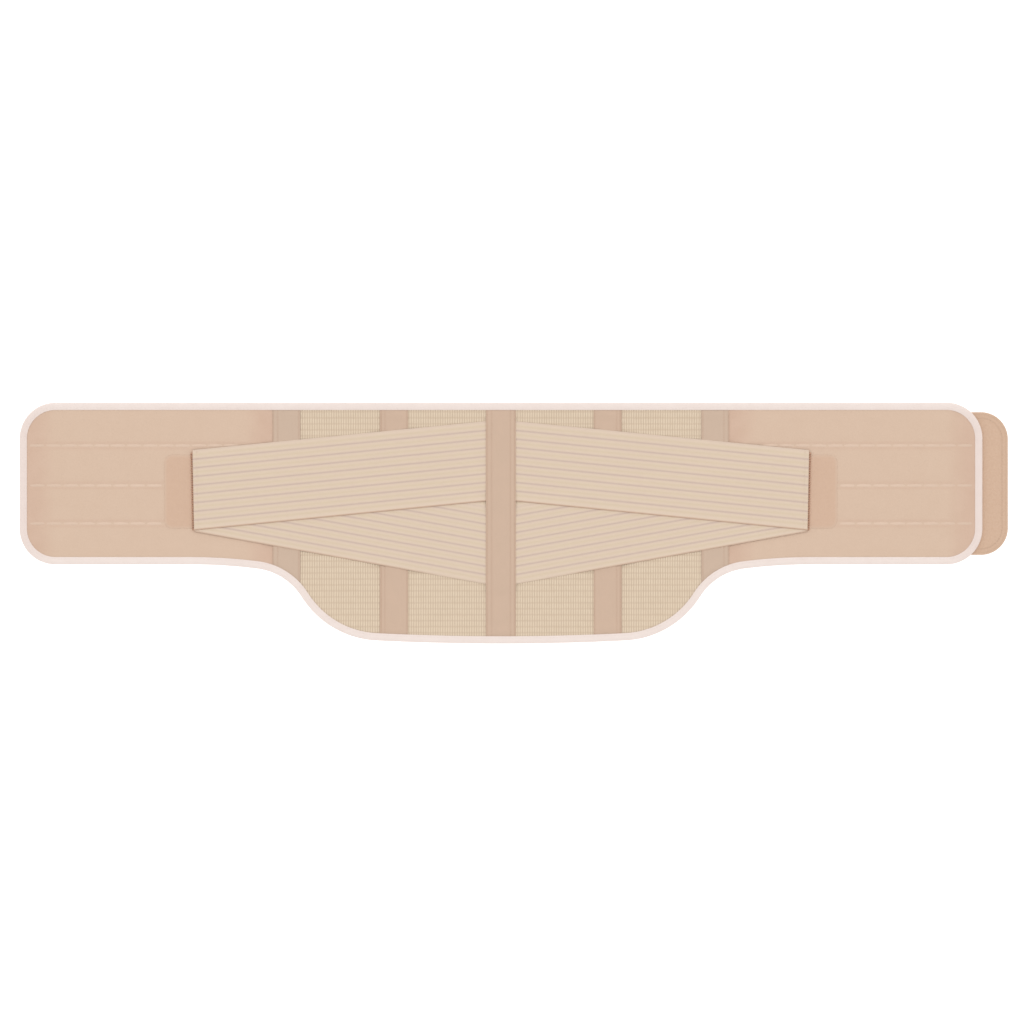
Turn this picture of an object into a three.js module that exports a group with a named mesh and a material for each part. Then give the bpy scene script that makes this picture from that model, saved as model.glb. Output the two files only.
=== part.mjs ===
// Prenatal and postpartum belt, laid flat with its outer face up.
//
// Units are millimetres. X runs along the belt, Y towards its top edge and Z up from the surface it lies on.
// The origin is on the underside of the back panel, where the spine line crosses the wings' middle line.
// Two quilted wings are joined to a mesh back panel, and one folded binding runs round the whole edge. Flat
// tapes cover the seams and the stays, and two elastic straps on each side fan out from the spine tape.
import * as THREE from "three";

const { clamp, lerp, degToRad, radToDeg } = THREE.MathUtils;

// Outline of the bound body
const HALF_LENGTH = 481.5;
const WING_HALF_HEIGHT = 81;
const CORNER_RADIUS = 36;
const SHOULDER_X = 310.5;
const SHOULDER_RADIUS = 537;
const SHOULDER_ANGLE = 7.15;
const SCOOP_RADIUS = 61.5;
const SCOOP_ANGLE = 57.8;
const LOBE_RADIUS = 93.7;
const HEM_RADIUS = 2480;
const SEAM_X = 214.5;

// Cloth thicknesses, and the clearance between neighbouring layers
const GAP = 0.3;
const MESH_THICK = 1.6;
const QUILT_VALLEY = 2.0;
const QUILT_CROWN = 3.1;
const STRAP_THICK = 1.6;
const STRAP_GROOVE = 0.4;
const TAB_THICK = 1.3;
const CLOSURE_THICK = 1.6;

// Binding, a strip folded round the edge of the panels
const BINDING_WIDTH = 7.5;
const BINDING_HEIGHT = 4.0;
const BINDING_WALL = 0.9;
const BINDING_ROUND = 0.8;

// The panels' edges lie in the binding, and the panels drape from its mouth down to the surface
const EDGE_INSET = 1.3;
const MOUTH_INSET = 8;
const DRAPE_WIDTH = 12;
const EDGE_RISE = BINDING_WALL + GAP;

// The right wing lies on the closure tab, and climbs to it between these two places
const LIFT_START = 370;
const LIFT_END = 415;
const LIFT = CLOSURE_THICK + GAP;

// Quilting lines of the wings, from the lower one up
const QUILT_LINES = [-40, -2, 38];

// Tapes, by the distance of their middle lines from the spine
const SPINE_TAPE_WIDTH = 30;
const TAPE_WIDTH = 28;
const STAY_TAPE_X = 107;
const STAY_TAPE_CROWN = 1.9;
const SEAM_TAPE_CROWN = 1.3;
const TAPE_END_INSET = 8.2;

// The spine tape climbs over the fan of straps, and again where an upper strap starts to cross a lower one
const FAN_LOW = -102;
const CROSSING_LOW = -24;
const CROSSING_HIGH = -1;
const FAN_CLIMB = 10;
const CROSSING_CLIMB = 18;

// Strap ends, by their distance from the spine, and the place where a strap leaves the spine tape
const STRAP_INNER_X = 4;
const STRAP_SHOWS_X = 14;
const STRAP_OUTER_X = 307.75;
const STRAP_MARGIN = 1;

// An upper strap starts to rise this far before a lower one, over this width
const STRAP_RISE_LEAD = 8;
const STRAP_RISE_WIDTH = 16;

// Tabs at the strap ends, and at the right end of the belt
const STRAP_TAB_INNER_X = 276;
const STRAP_TAB_OUTER_X = 336.5;
const CLOSURE_INNER_X = 425;
const CLOSURE_OUTER_X = 508;
const CLOSURE_HALF_HEIGHT = 71.5;

// Heights at which a layer lies over the flat part of the panels
const ON_MESH = MESH_THICK + GAP;
const ON_WING = QUILT_CROWN + GAP;
const ON_STAY_TAPE = ON_MESH + STAY_TAPE_CROWN + GAP;
const ON_SEAM_TAPE = ON_MESH + SEAM_TAPE_CROWN + GAP;
const ON_STRAP_TAB = ON_WING + TAB_THICK + GAP;
const STRAP_RISE = STRAP_THICK + GAP;
const ON_STRAP = ON_MESH + STRAP_RISE;

// Outline

// The lower edge of each half is a slow hollow shoulder, a hollow scoop, the round side of the lobe and the
// slow curve of the hem, each tangent to the next. An inset outline keeps the centres and changes the radii.
const SHOULDER_Y = -WING_HALF_HEIGHT - SHOULDER_RADIUS;
const SCOOP_X = SHOULDER_X - (SHOULDER_RADIUS - SCOOP_RADIUS) * Math.sin(degToRad(SHOULDER_ANGLE));
const SCOOP_Y = SHOULDER_Y + (SHOULDER_RADIUS - SCOOP_RADIUS) * Math.cos(degToRad(SHOULDER_ANGLE));
const LOBE_X = SCOOP_X - (SCOOP_RADIUS + LOBE_RADIUS) * Math.sin(degToRad(SCOOP_ANGLE));
const LOBE_Y = SCOOP_Y + (SCOOP_RADIUS + LOBE_RADIUS) * Math.cos(degToRad(SCOOP_ANGLE));
const HEM_Y = LOBE_Y + Math.sqrt((HEM_RADIUS - LOBE_RADIUS) ** 2 - LOBE_X ** 2);
const HEM_ANGLE = radToDeg(Math.asin(LOBE_X / (HEM_RADIUS - LOBE_RADIUS)));
const CORNER_X = HALF_LENGTH - CORNER_RADIUS;
const CORNER_Y = WING_HALF_HEIGHT - CORNER_RADIUS;

// Directions, in degrees, in which two arcs meet, seen from the arcs' centres
const HEM_TURN = HEM_ANGLE - 90;
const LOBE_TURN = SCOOP_ANGLE - 90;
const SCOOP_TURN = SCOOP_ANGLE + 90;
const SHOULDER_TURN = SHOULDER_ANGLE + 90;

// One row for each arc of the right half, from the middle of the hem round to the top edge, angles in
// degrees. side is 1 where the belt is inside the arc and -1 where it is outside. A row of no steps is one
// point of a straight edge.
const OUTLINE_ARCS = [
  { x: 0, y: HEM_Y, radius: HEM_RADIUS, side: 1, from: -90, to: HEM_TURN, steps: 2 },
  { x: LOBE_X, y: LOBE_Y, radius: LOBE_RADIUS, side: 1, from: HEM_TURN, to: LOBE_TURN, steps: 9 },
  { x: SCOOP_X, y: SCOOP_Y, radius: SCOOP_RADIUS, side: -1, from: SCOOP_TURN, to: SHOULDER_TURN, steps: 8 },
  { x: SHOULDER_X, y: SHOULDER_Y, radius: SHOULDER_RADIUS, side: -1, from: SHOULDER_TURN, to: 90, steps: 3 },
  { x: LIFT_START, y: 0, radius: WING_HALF_HEIGHT, side: 1, from: -90, to: -90, steps: 0 },
  { x: LIFT_END, y: 0, radius: WING_HALF_HEIGHT, side: 1, from: -90, to: -90, steps: 0 },
  { x: CORNER_X, y: -CORNER_Y, radius: CORNER_RADIUS, side: 1, from: -90, to: 0, steps: 7 },
  { x: CORNER_X, y: CORNER_Y, radius: CORNER_RADIUS, side: 1, from: 0, to: 90, steps: 7 },
  { x: LIFT_END, y: 0, radius: WING_HALF_HEIGHT, side: 1, from: 90, to: 90, steps: 0 },
  { x: LIFT_START, y: 0, radius: WING_HALF_HEIGHT, side: 1, from: 90, to: 90, steps: 0 },
];
const SAME_POINT = 1e-3;

function arcPoints({ x, y, radius, side, from, to, steps }, inset) {
  const reach = radius - side * inset;
  return Array.from({ length: steps + 1 }, (_, step) => {
    const angle = degToRad(lerp(from, to, steps ? step / steps : 0));
    return new THREE.Vector2(x + reach * Math.cos(angle), y + reach * Math.sin(angle));
  });
}

function outlineLoop(inset) {
  const right = OUTLINE_ARCS.flatMap((arc) => arcPoints(arc, inset));
  const left = right.map((point) => new THREE.Vector2(-point.x, point.y)).reverse();
  const loop = [...right, ...left];
  return loop.filter((point, i) => point.distanceTo(loop.at(i - 1)) > SAME_POINT);
}

// Height of a circle's rim at a distance from its centre, and 0 past the rim.
const rim = (radius, distance) => Math.sqrt(Math.max(radius ** 2 - distance ** 2, 0));

function upperEdge(x, inset) {
  const past = Math.abs(x) - CORNER_X;
  return past <= 0 ? WING_HALF_HEIGHT - inset : CORNER_Y + rim(CORNER_RADIUS - inset, past);
}

function lowerEdge(x, inset) {
  const away = Math.abs(x);
  const hemEnd = (HEM_RADIUS - inset) * Math.sin(degToRad(HEM_ANGLE));
  const lobeEnd = LOBE_X + (LOBE_RADIUS - inset) * Math.sin(degToRad(SCOOP_ANGLE));
  const scoopEnd = SCOOP_X - (SCOOP_RADIUS + inset) * Math.sin(degToRad(SHOULDER_ANGLE));
  if (away <= hemEnd) return HEM_Y - rim(HEM_RADIUS - inset, away);
  if (away <= lobeEnd) return LOBE_Y - rim(LOBE_RADIUS - inset, away - LOBE_X);
  if (away <= scoopEnd) return SCOOP_Y + rim(SCOOP_RADIUS + inset, SCOOP_X - away);
  if (away <= SHOULDER_X) return SHOULDER_Y + rim(SHOULDER_RADIUS + inset, SHOULDER_X - away);
  return -upperEdge(x, inset);
}

const liftAt = (x) => LIFT * clamp((x - LIFT_START) / (LIFT_END - LIFT_START), 0, 1);

// Closed solids

function signedVolume(points, triangles) {
  const normal = new THREE.Vector3();
  let sum = 0;
  for (let i = 0; i < triangles.length; i += 3) {
    const [a, b, c] = triangles.slice(i, i + 3).map((index) => points[index]);
    sum += a.dot(normal.crossVectors(b, c)) / 6;
  }
  return sum;
}

function closedGeometry(points, triangles) {
  const outward = signedVolume(points, triangles) > 0 ? triangles : triangles.toReversed();
  const geometry = new THREE.BufferGeometry().setFromPoints(points);
  geometry.setIndex(outward);
  geometry.computeVertexNormals();
  return geometry;
}

// A sheet on a grid of columns and rows. surface gives each grid point's place and the heights of both faces.
function sheetSolid(columns, rows, surface) {
  const points = [];
  for (const column of columns) {
    for (const row of rows) {
      const { x, y, under, over } = surface(column, row);
      points.push(new THREE.Vector3(x, y, over), new THREE.Vector3(x, y, under));
    }
  }
  const over = (i, j) => 2 * (i * rows.length + j);
  const under = (i, j) => over(i, j) + 1;
  const triangles = [];
  const quad = (a, b, c, d) => triangles.push(a, b, c, a, c, d);
  const [lastColumn, lastRow] = [columns.length - 1, rows.length - 1];
  for (let i = 0; i < lastColumn; i += 1) {
    for (let j = 0; j < lastRow; j += 1) {
      quad(over(i, j), over(i + 1, j), over(i + 1, j + 1), over(i, j + 1));
      quad(under(i, j), under(i, j + 1), under(i + 1, j + 1), under(i + 1, j));
    }
    quad(over(i, 0), under(i, 0), under(i + 1, 0), over(i + 1, 0));
    quad(over(i, lastRow), over(i + 1, lastRow), under(i + 1, lastRow), under(i, lastRow));
  }
  for (let j = 0; j < lastRow; j += 1) {
    quad(over(0, j), over(0, j + 1), under(0, j + 1), under(0, j));
    quad(over(lastColumn, j), under(lastColumn, j), under(lastColumn, j + 1), over(lastColumn, j + 1));
  }
  return closedGeometry(points, triangles);
}

// A ring of loops that have the same number of points, each joined to the next and the last to the first.
function ringSolid(loops) {
  const count = loops[0].length;
  const triangles = [];
  for (let k = 0; k < loops.length; k += 1) {
    const [here, next] = [k * count, ((k + 1) % loops.length) * count];
    for (let i = 0; i < count; i += 1) {
      const j = (i + 1) % count;
      triangles.push(here + i, here + j, next + j, here + i, next + j, next + i);
    }
  }
  return closedGeometry(loops.flat(), triangles);
}

// Binding

// The folded strip's section, once round from its outer foot: distance in from the edge, and height.
const BINDING_SECTION = [
  { inset: BINDING_ROUND, height: 0 },
  { inset: 0, height: BINDING_ROUND },
  { inset: 0, height: BINDING_HEIGHT - BINDING_ROUND },
  { inset: BINDING_ROUND, height: BINDING_HEIGHT },
  { inset: BINDING_WIDTH - BINDING_ROUND, height: BINDING_HEIGHT },
  { inset: BINDING_WIDTH, height: BINDING_HEIGHT - BINDING_WALL / 2 },
  { inset: BINDING_WIDTH, height: BINDING_HEIGHT - BINDING_WALL },
  { inset: BINDING_WALL, height: BINDING_HEIGHT - BINDING_WALL },
  { inset: BINDING_WALL, height: BINDING_WALL },
  { inset: BINDING_WIDTH, height: BINDING_WALL },
  { inset: BINDING_WIDTH, height: BINDING_WALL / 2 },
  { inset: BINDING_WIDTH - BINDING_ROUND, height: 0 },
];

function bindingGeometry() {
  const loops = BINDING_SECTION.map(({ inset, height }) =>
    outlineLoop(inset).map(({ x, y }) => new THREE.Vector3(x, y, height + liftAt(x))),
  );
  return ringSolid(loops);
}

// Back panel

// Distances of the columns from the spine, closer together where the lower edge bends.
const PANEL_COLUMNS = [0, 60, 116, 128, 140, 151, 161, 170, 178, 185, 191, 197, 203, 209, SEAM_X - GAP / 2];

// Rows across the panel: the edge that they follow, how far in, and how much of the edge's rise they have.
const PANEL_ROWS = [
  { edge: lowerEdge, inset: EDGE_INSET, rise: 1 },
  { edge: lowerEdge, inset: MOUTH_INSET, rise: 1 },
  { edge: lowerEdge, inset: MOUTH_INSET + DRAPE_WIDTH, rise: 0 },
  { edge: upperEdge, inset: MOUTH_INSET + DRAPE_WIDTH, rise: 0 },
  { edge: upperEdge, inset: MOUTH_INSET, rise: 1 },
  { edge: upperEdge, inset: EDGE_INSET, rise: 1 },
];

function backPanelGeometry() {
  const [spine, ...right] = PANEL_COLUMNS;
  const left = right.map((x) => -x).reverse();
  return sheetSolid([...left, spine, ...right], PANEL_ROWS, (x, row) => {
    const under = row.rise * EDGE_RISE;
    return { x, y: row.edge(x, row.inset), under, over: under + MESH_THICK };
  });
}

// Wings

// Columns of a wing by their distance from the spine: share of the edge's rise, share of the quilt's loft.
const CORNER_REACH = CORNER_RADIUS - EDGE_INSET;
const WING_COLUMNS = [
  { away: SEAM_X + GAP / 2, rise: 0, loft: 0 },
  { away: SEAM_X + 8, rise: 0, loft: 0 },
  { away: SEAM_X + 15, rise: 0, loft: 0 },
  { away: SEAM_X + 24, rise: 0, loft: 0.7 },
  { away: SEAM_X + 33, rise: 0, loft: 1 },
  { away: SEAM_X + 42, rise: 0, loft: 1 },
  { away: SHOULDER_X - 27, rise: 0, loft: 1 },
  { away: SHOULDER_X, rise: 0, loft: 1 },
  { away: LIFT_START, rise: 0, loft: 1 },
  { away: LIFT_END, rise: 0, loft: 1 },
  { away: CORNER_X, rise: 0, loft: 1 },
  { away: CORNER_X + 0.42 * CORNER_REACH, rise: 0.3, loft: 0.75 },
  { away: CORNER_X + 0.65 * CORNER_REACH, rise: 0.8, loft: 0.2 },
  { away: HALF_LENGTH - MOUTH_INSET, rise: 1, loft: 0 },
  { away: CORNER_X + 0.93 * CORNER_REACH, rise: 1, loft: 0 },
  { away: CORNER_X + 0.995 * CORNER_REACH, rise: 1, loft: 0 },
];

// Rows inside one quilted channel: share of the way across it, and share of the quilt's loft.
const CHANNEL_ROWS = [
  { across: 0.1, loft: 0.6 },
  { across: 0.28, loft: 1 },
  { across: 0.72, loft: 1 },
  { across: 0.9, loft: 0.6 },
];

function wingRows() {
  const lines = [
    { place: (x) => lowerEdge(x, MOUTH_INSET), bound: 1, loft: 0 },
    ...QUILT_LINES.map((y) => ({ place: () => y, bound: 0, loft: 0 })),
    { place: (x) => upperEdge(x, MOUTH_INSET), bound: 1, loft: 0 },
  ];
  const channels = lines.slice(0, -1).flatMap((line, i) => [
    line,
    ...CHANNEL_ROWS.map(({ across, loft }) => ({
      place: (x) => lerp(line.place(x), lines[i + 1].place(x), across),
      bound: 0,
      loft,
    })),
  ]);
  return [
    { place: (x) => lowerEdge(x, EDGE_INSET), bound: 1, loft: 0 },
    ...channels,
    lines.at(-1),
    { place: (x) => upperEdge(x, EDGE_INSET), bound: 1, loft: 0 },
  ];
}

function wingGeometry(side) {
  return sheetSolid(WING_COLUMNS, wingRows(), (column, row) => {
    const x = side * column.away;
    const bound = Math.max(column.rise, row.bound);
    const flat = lerp(MESH_THICK, QUILT_VALLEY, column.loft * (1 - bound));
    const thick = flat + (QUILT_CROWN - QUILT_VALLEY) * column.loft * row.loft;
    const under = bound * EDGE_RISE + liftAt(x);
    return { x, y: row.place(x), under, over: under + thick };
  });
}

// Tapes

// Sections across a tape: share of its half width, and thickness. A stay rounds up the middle of a stay tape,
// and each tape is drawn in along its two lines of stitching.
const STAY_TAPE_SECTION = [
  { across: -1, thick: 0.9 },
  { across: -0.7, thick: 0.75 },
  { across: -0.52, thick: 1.5 },
  { across: -0.22, thick: STAY_TAPE_CROWN },
  { across: 0.22, thick: STAY_TAPE_CROWN },
  { across: 0.52, thick: 1.5 },
  { across: 0.7, thick: 0.75 },
  { across: 1, thick: 0.9 },
];
const SEAM_TAPE_SECTION = [
  { across: -1, thick: 1.0 },
  { across: -0.65, thick: 0.85 },
  { across: -0.45, thick: SEAM_TAPE_CROWN },
  { across: 0.45, thick: SEAM_TAPE_CROWN },
  { across: 0.65, thick: 0.85 },
  { across: 1, thick: 1.0 },
];

// Rows up a tape from its lower end, and the height at which it lies there.
const PLAIN_TAPE_ROWS = [
  { place: (x) => lowerEdge(x, TAPE_END_INSET), bed: ON_MESH + EDGE_RISE },
  { place: (x) => lowerEdge(x, TAPE_END_INSET + DRAPE_WIDTH), bed: ON_MESH },
  { place: (x) => upperEdge(x, TAPE_END_INSET + DRAPE_WIDTH), bed: ON_MESH },
  { place: (x) => upperEdge(x, TAPE_END_INSET), bed: ON_MESH + EDGE_RISE },
];
const SPINE_TAPE_ROWS = [
  ...PLAIN_TAPE_ROWS.slice(0, 2),
  { place: () => FAN_LOW - FAN_CLIMB, bed: ON_MESH },
  { place: () => FAN_LOW, bed: ON_STRAP },
  { place: () => CROSSING_LOW - FAN_CLIMB, bed: ON_STRAP },
  { place: () => CROSSING_LOW, bed: ON_STRAP + STRAP_RISE },
  { place: () => CROSSING_HIGH, bed: ON_STRAP + STRAP_RISE },
  { place: () => CROSSING_HIGH + CROSSING_CLIMB, bed: ON_STRAP },
  { place: (x) => upperEdge(x, TAPE_END_INSET), bed: ON_STRAP },
];

function tapeGeometry(middle, width, section, rows) {
  return sheetSolid(section, rows, (column, row) => {
    const x = middle + (column.across * width) / 2;
    return { x, y: row.place(x), under: row.bed, over: row.bed + column.thick };
  });
}

// Straps

// Heights of a strap's underside by distance from the spine: it is stretched over the tapes and the tab.
const STRAP_BEDS = [
  { away: STRAP_INNER_X, bed: ON_MESH },
  { away: STRAP_SHOWS_X, bed: ON_MESH },
  { away: STAY_TAPE_X - TAPE_WIDTH / 2 - STRAP_MARGIN, bed: ON_STAY_TAPE },
  { away: STAY_TAPE_X + TAPE_WIDTH / 2 + STRAP_MARGIN, bed: ON_STAY_TAPE },
  { away: SEAM_X - TAPE_WIDTH / 2 - STRAP_MARGIN, bed: ON_SEAM_TAPE },
  { away: SEAM_X + TAPE_WIDTH / 2 + STRAP_MARGIN, bed: ON_SEAM_TAPE },
  { away: STRAP_TAB_INNER_X - STRAP_MARGIN, bed: ON_STRAP_TAB },
  { away: STRAP_OUTER_X, bed: ON_STRAP_TAB },
];
const STRAP_STEP = 30;

// Each strap's edges where it leaves the spine tape and at its outer end. Ribs run along it between grooves.
// The lower strap has a plain margin along its top edge, under the upper one, as a share of its height.
const STRAPS = {
  upper: { innerLow: -17.75, innerHigh: 62.5, outerLow: -47, outerHigh: 33.5, ribs: 9, margin: 0 },
  lower: { innerLow: -100.75, innerHigh: -18.25, outerLow: -48, outerHigh: 33.25, ribs: 9, margin: 0.07 },
};
const RIB_SHOULDER = 0.16;

// The beds, with more of them between two that lie further apart than the longest step.
function stepsAlong(beds, longest) {
  return beds.flatMap((bed, i) => {
    const before = beds[Math.max(i - 1, 0)];
    const count = Math.max(Math.ceil((bed.away - before.away) / longest), 1);
    return Array.from({ length: count }, (_, k) => ({
      away: lerp(before.away, bed.away, (k + 1) / count),
      bed: lerp(before.bed, bed.bed, (k + 1) / count),
    }));
  });
}

function strapEdge(strap, edge, away) {
  const share = (away - STRAP_SHOWS_X) / (STRAP_OUTER_X - STRAP_SHOWS_X);
  return lerp(strap[`inner${edge}`], strap[`outer${edge}`], share);
}

// Rows across a strap: share of its height from the lower edge, and depth of the groove there.
function strapRows({ ribs, margin }) {
  const rib = (1 - margin) / ribs;
  const rows = [{ across: 0, groove: STRAP_GROOVE }];
  for (let i = 0; i < ribs; i += 1) {
    rows.push({ across: (i + RIB_SHOULDER) * rib, groove: 0 });
    rows.push({ across: (i + 1 - RIB_SHOULDER) * rib, groove: 0 });
    rows.push({ across: (i + 1) * rib, groove: STRAP_GROOVE });
  }
  if (margin) {
    rows.push({ across: 1 - (1 - RIB_SHOULDER) * margin, groove: 0 });
    rows.push({ across: 1, groove: 0 });
  }
  return rows;
}

// How far a lower strap raises the upper one: fully over it and just before its edge, fading further out.
function raisedByLower(away, y) {
  const past = strapEdge(STRAPS.lower, "High", away) - y + STRAP_RISE_LEAD;
  return STRAP_RISE * clamp(past / STRAP_RISE_WIDTH + 1, 0, 1);
}

function strapGeometry(strap) {
  const crosses = strap === STRAPS.upper;
  const stations = crosses ? stepsAlong(STRAP_BEDS, STRAP_STEP) : STRAP_BEDS;
  return sheetSolid(stations, strapRows(strap), ({ away, bed }, { across, groove }) => {
    const y = lerp(strapEdge(strap, "Low", away), strapEdge(strap, "High", away), across);
    const under = bed + (crosses ? raisedByLower(away, y) : 0);
    return { x: -away, y, under, over: under + STRAP_THICK - groove };
  });
}

// Tabs

const STRAP_TAB = {
  inner: STRAP_TAB_INNER_X,
  outer: STRAP_TAB_OUTER_X,
  low: -44.75,
  high: 28.5,
  corner: 8,
  bed: ON_WING,
  thick: TAB_THICK,
};
const CLOSURE_TAB = {
  inner: CLOSURE_INNER_X,
  outer: CLOSURE_OUTER_X,
  low: -CLOSURE_HALF_HEIGHT,
  high: CLOSURE_HALF_HEIGHT,
  corner: 27,
  bed: 0,
  thick: CLOSURE_THICK,
};

// Columns round the corners of a tab's outer end, as shares of the corner's radius.
const TAB_BENDS = [0, 0.3, 0.55, 0.75, 0.9, 0.985];

// A flat tab from its square inner end to its outer end, which has two round corners.
function tabGeometry({ inner, outer, low, high, corner, bed, thick }) {
  const columns = [inner, ...TAB_BENDS.map((share) => outer - corner + share * corner)];
  return sheetSolid(columns, ["low", "high"], (x, row) => {
    const drawnIn = corner - rim(corner, Math.max(x - outer + corner, 0));
    const y = row === "high" ? high - drawnIn : low + drawnIn;
    return { x, y, under: bed, over: bed + thick };
  });
}

// Assembly

const COLOURS = {
  wing: { color: "#dac0aa", roughness: 0.9 },
  mesh: { color: "#dac5ad", roughness: 0.92 },
  binding: { color: "#f0e1d9", roughness: 0.85 },
  tape: { color: "#d1b6a1", roughness: 0.8 },
  strap: { color: "#dec9b4", roughness: 0.88 },
  tab: { color: "#d5b59d", roughness: 0.95 },
};

const belt = new THREE.Group();
belt.name = "prenatal_postpartum_belt";

function add(name, geometry, look, mirrored = false) {
  const material = new THREE.MeshStandardMaterial({ ...COLOURS[look], metalness: 0 });
  const mesh = new THREE.Mesh(geometry, material);
  mesh.name = name;
  if (mirrored) mesh.scale.x = -1;
  belt.add(mesh);
}

add("back_panel", backPanelGeometry(), "mesh");
add("wing_left", wingGeometry(-1), "wing");
add("wing_right", wingGeometry(1), "wing");
add("edge_binding", bindingGeometry(), "binding");
add("closure_tab", tabGeometry(CLOSURE_TAB), "tab");
add("spine_tape", tapeGeometry(0, SPINE_TAPE_WIDTH, STAY_TAPE_SECTION, SPINE_TAPE_ROWS), "tape");

const stayTape = tapeGeometry(-STAY_TAPE_X, TAPE_WIDTH, STAY_TAPE_SECTION, PLAIN_TAPE_ROWS);
const seamTape = tapeGeometry(-SEAM_X, TAPE_WIDTH, SEAM_TAPE_SECTION, PLAIN_TAPE_ROWS);
const upperStrap = strapGeometry(STRAPS.upper);
const lowerStrap = strapGeometry(STRAPS.lower);
const strapTab = tabGeometry(STRAP_TAB);

for (const side of ["left", "right"]) {
  const isRight = side === "right";
  add(`stay_tape_${side}`, stayTape, "tape", isRight);
  add(`seam_tape_${side}`, seamTape, "tape", isRight);
  add(`strap_lower_${side}`, lowerStrap, "strap", isRight);
  add(`strap_upper_${side}`, upperStrap, "strap", isRight);
  add(`strap_tab_${side}`, strapTab, "tab", !isRight);
}

export default belt;
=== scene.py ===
"""Looks of a prenatal and postpartum belt, laid flat with its outer face up.

Lengths are in millimetres until a mesh is made, and a mesh is in metres. X runs along the belt towards its
closure tab, Y towards its top edge and Z up from the floor.
"""
import math
from collections import namedtuple

import bpy
import numpy as np
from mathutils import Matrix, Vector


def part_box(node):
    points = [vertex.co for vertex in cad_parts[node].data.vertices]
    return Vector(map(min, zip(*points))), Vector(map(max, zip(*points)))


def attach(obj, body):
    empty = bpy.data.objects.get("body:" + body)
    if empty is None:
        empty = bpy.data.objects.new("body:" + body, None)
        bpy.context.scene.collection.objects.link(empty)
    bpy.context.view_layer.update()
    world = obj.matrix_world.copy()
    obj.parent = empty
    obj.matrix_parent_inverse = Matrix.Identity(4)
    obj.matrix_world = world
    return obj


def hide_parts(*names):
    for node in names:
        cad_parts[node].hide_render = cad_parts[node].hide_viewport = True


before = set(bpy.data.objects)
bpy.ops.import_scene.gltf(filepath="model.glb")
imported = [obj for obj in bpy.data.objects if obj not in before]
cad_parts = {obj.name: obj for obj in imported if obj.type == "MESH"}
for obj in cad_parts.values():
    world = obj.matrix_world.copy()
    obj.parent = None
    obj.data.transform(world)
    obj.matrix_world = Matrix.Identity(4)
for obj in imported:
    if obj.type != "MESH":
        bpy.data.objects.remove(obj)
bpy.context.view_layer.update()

MM = 0.001
SIDES = {"left": -1, "right": 1}


def span(node):
    """Lowest and highest corner of a solid of the frame, in millimetres."""
    low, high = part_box(node)
    return np.array(low) / MM, np.array(high) / MM


def middle_and_width(node):
    """Middle and width of a solid, along X."""
    low, high = span(node)
    return (low[0] + high[0]) / 2, high[0] - low[0]


# Outline of the bound body: a rectangle with round corners, and a lobe between two hollow scoops, which start
# with a slow shoulder
HALF_LENGTH, WING_HALF_HEIGHT = span("edge_binding")[1][:2]
CORNER_RADIUS = 36
SHOULDER_X = 310.5
SHOULDER_RADIUS = 537
SHOULDER_ANGLE = math.radians(7.15)
SCOOP_RADIUS = 61.5
SCOOP_ANGLE = math.radians(57.8)
LOBE_RADIUS = 93.7
HEM_RADIUS = 2480
SHOULDER_Y = -WING_HALF_HEIGHT - SHOULDER_RADIUS
SCOOP_X = SHOULDER_X - (SHOULDER_RADIUS - SCOOP_RADIUS) * math.sin(SHOULDER_ANGLE)
SCOOP_Y = SHOULDER_Y + (SHOULDER_RADIUS - SCOOP_RADIUS) * math.cos(SHOULDER_ANGLE)
LOBE_X = SCOOP_X - (SCOOP_RADIUS + LOBE_RADIUS) * math.sin(SCOOP_ANGLE)
LOBE_Y = SCOOP_Y + (SCOOP_RADIUS + LOBE_RADIUS) * math.cos(SCOOP_ANGLE)
HEM_Y = LOBE_Y + math.sqrt((HEM_RADIUS - LOBE_RADIUS) ** 2 - LOBE_X ** 2)
HEM_ANGLE = math.asin(LOBE_X / (HEM_RADIUS - LOBE_RADIUS))
CORNER_X = HALF_LENGTH - CORNER_RADIUS
CORNER_Y = WING_HALF_HEIGHT - CORNER_RADIUS

# Arcs of the lower edge's right half, from the hem outwards: centre, radius, side and slope at the outer end.
# The side is 1 where the belt lies inside the circle and -1 where it lies outside
LOWER_ARCS = (
    (0, HEM_Y, HEM_RADIUS, 1, HEM_ANGLE),
    (LOBE_X, LOBE_Y, LOBE_RADIUS, 1, SCOOP_ANGLE),
    (SCOOP_X, SCOOP_Y, SCOOP_RADIUS, -1, SHOULDER_ANGLE),
    (SHOULDER_X, SHOULDER_Y, SHOULDER_RADIUS, -1, 0),
)

# Cloth thicknesses, and the clearances between layers that lie free and that are sewn down
GAP = 0.3
SEWN_GAP = 0.1
MESH_THICK = 1.6
QUILT_VALLEY = 2.25
PILLOW_CAP = 0.85
STRAP_THICK = 0.95
STAY_TAPE_CROWN = 1.4
SEAM_TAPE_CROWN = 0.95
STRAP_TAB_THICK = 0.6

# Binding, and how the panels drape from its mouth to the floor
BINDING_WIDTH = 7.5
BINDING_WALL = 0.9
EDGE_INSET = 1.3
MOUTH_INSET = 8.0
DRAPE_WIDTH = 12.0
EDGE_RISE = BINDING_WALL + GAP

# The right wing lies on the closure tab
LIFT_SPAN = (370, 415)
LIFT = span("closure_tab")[1][2] + GAP

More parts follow.
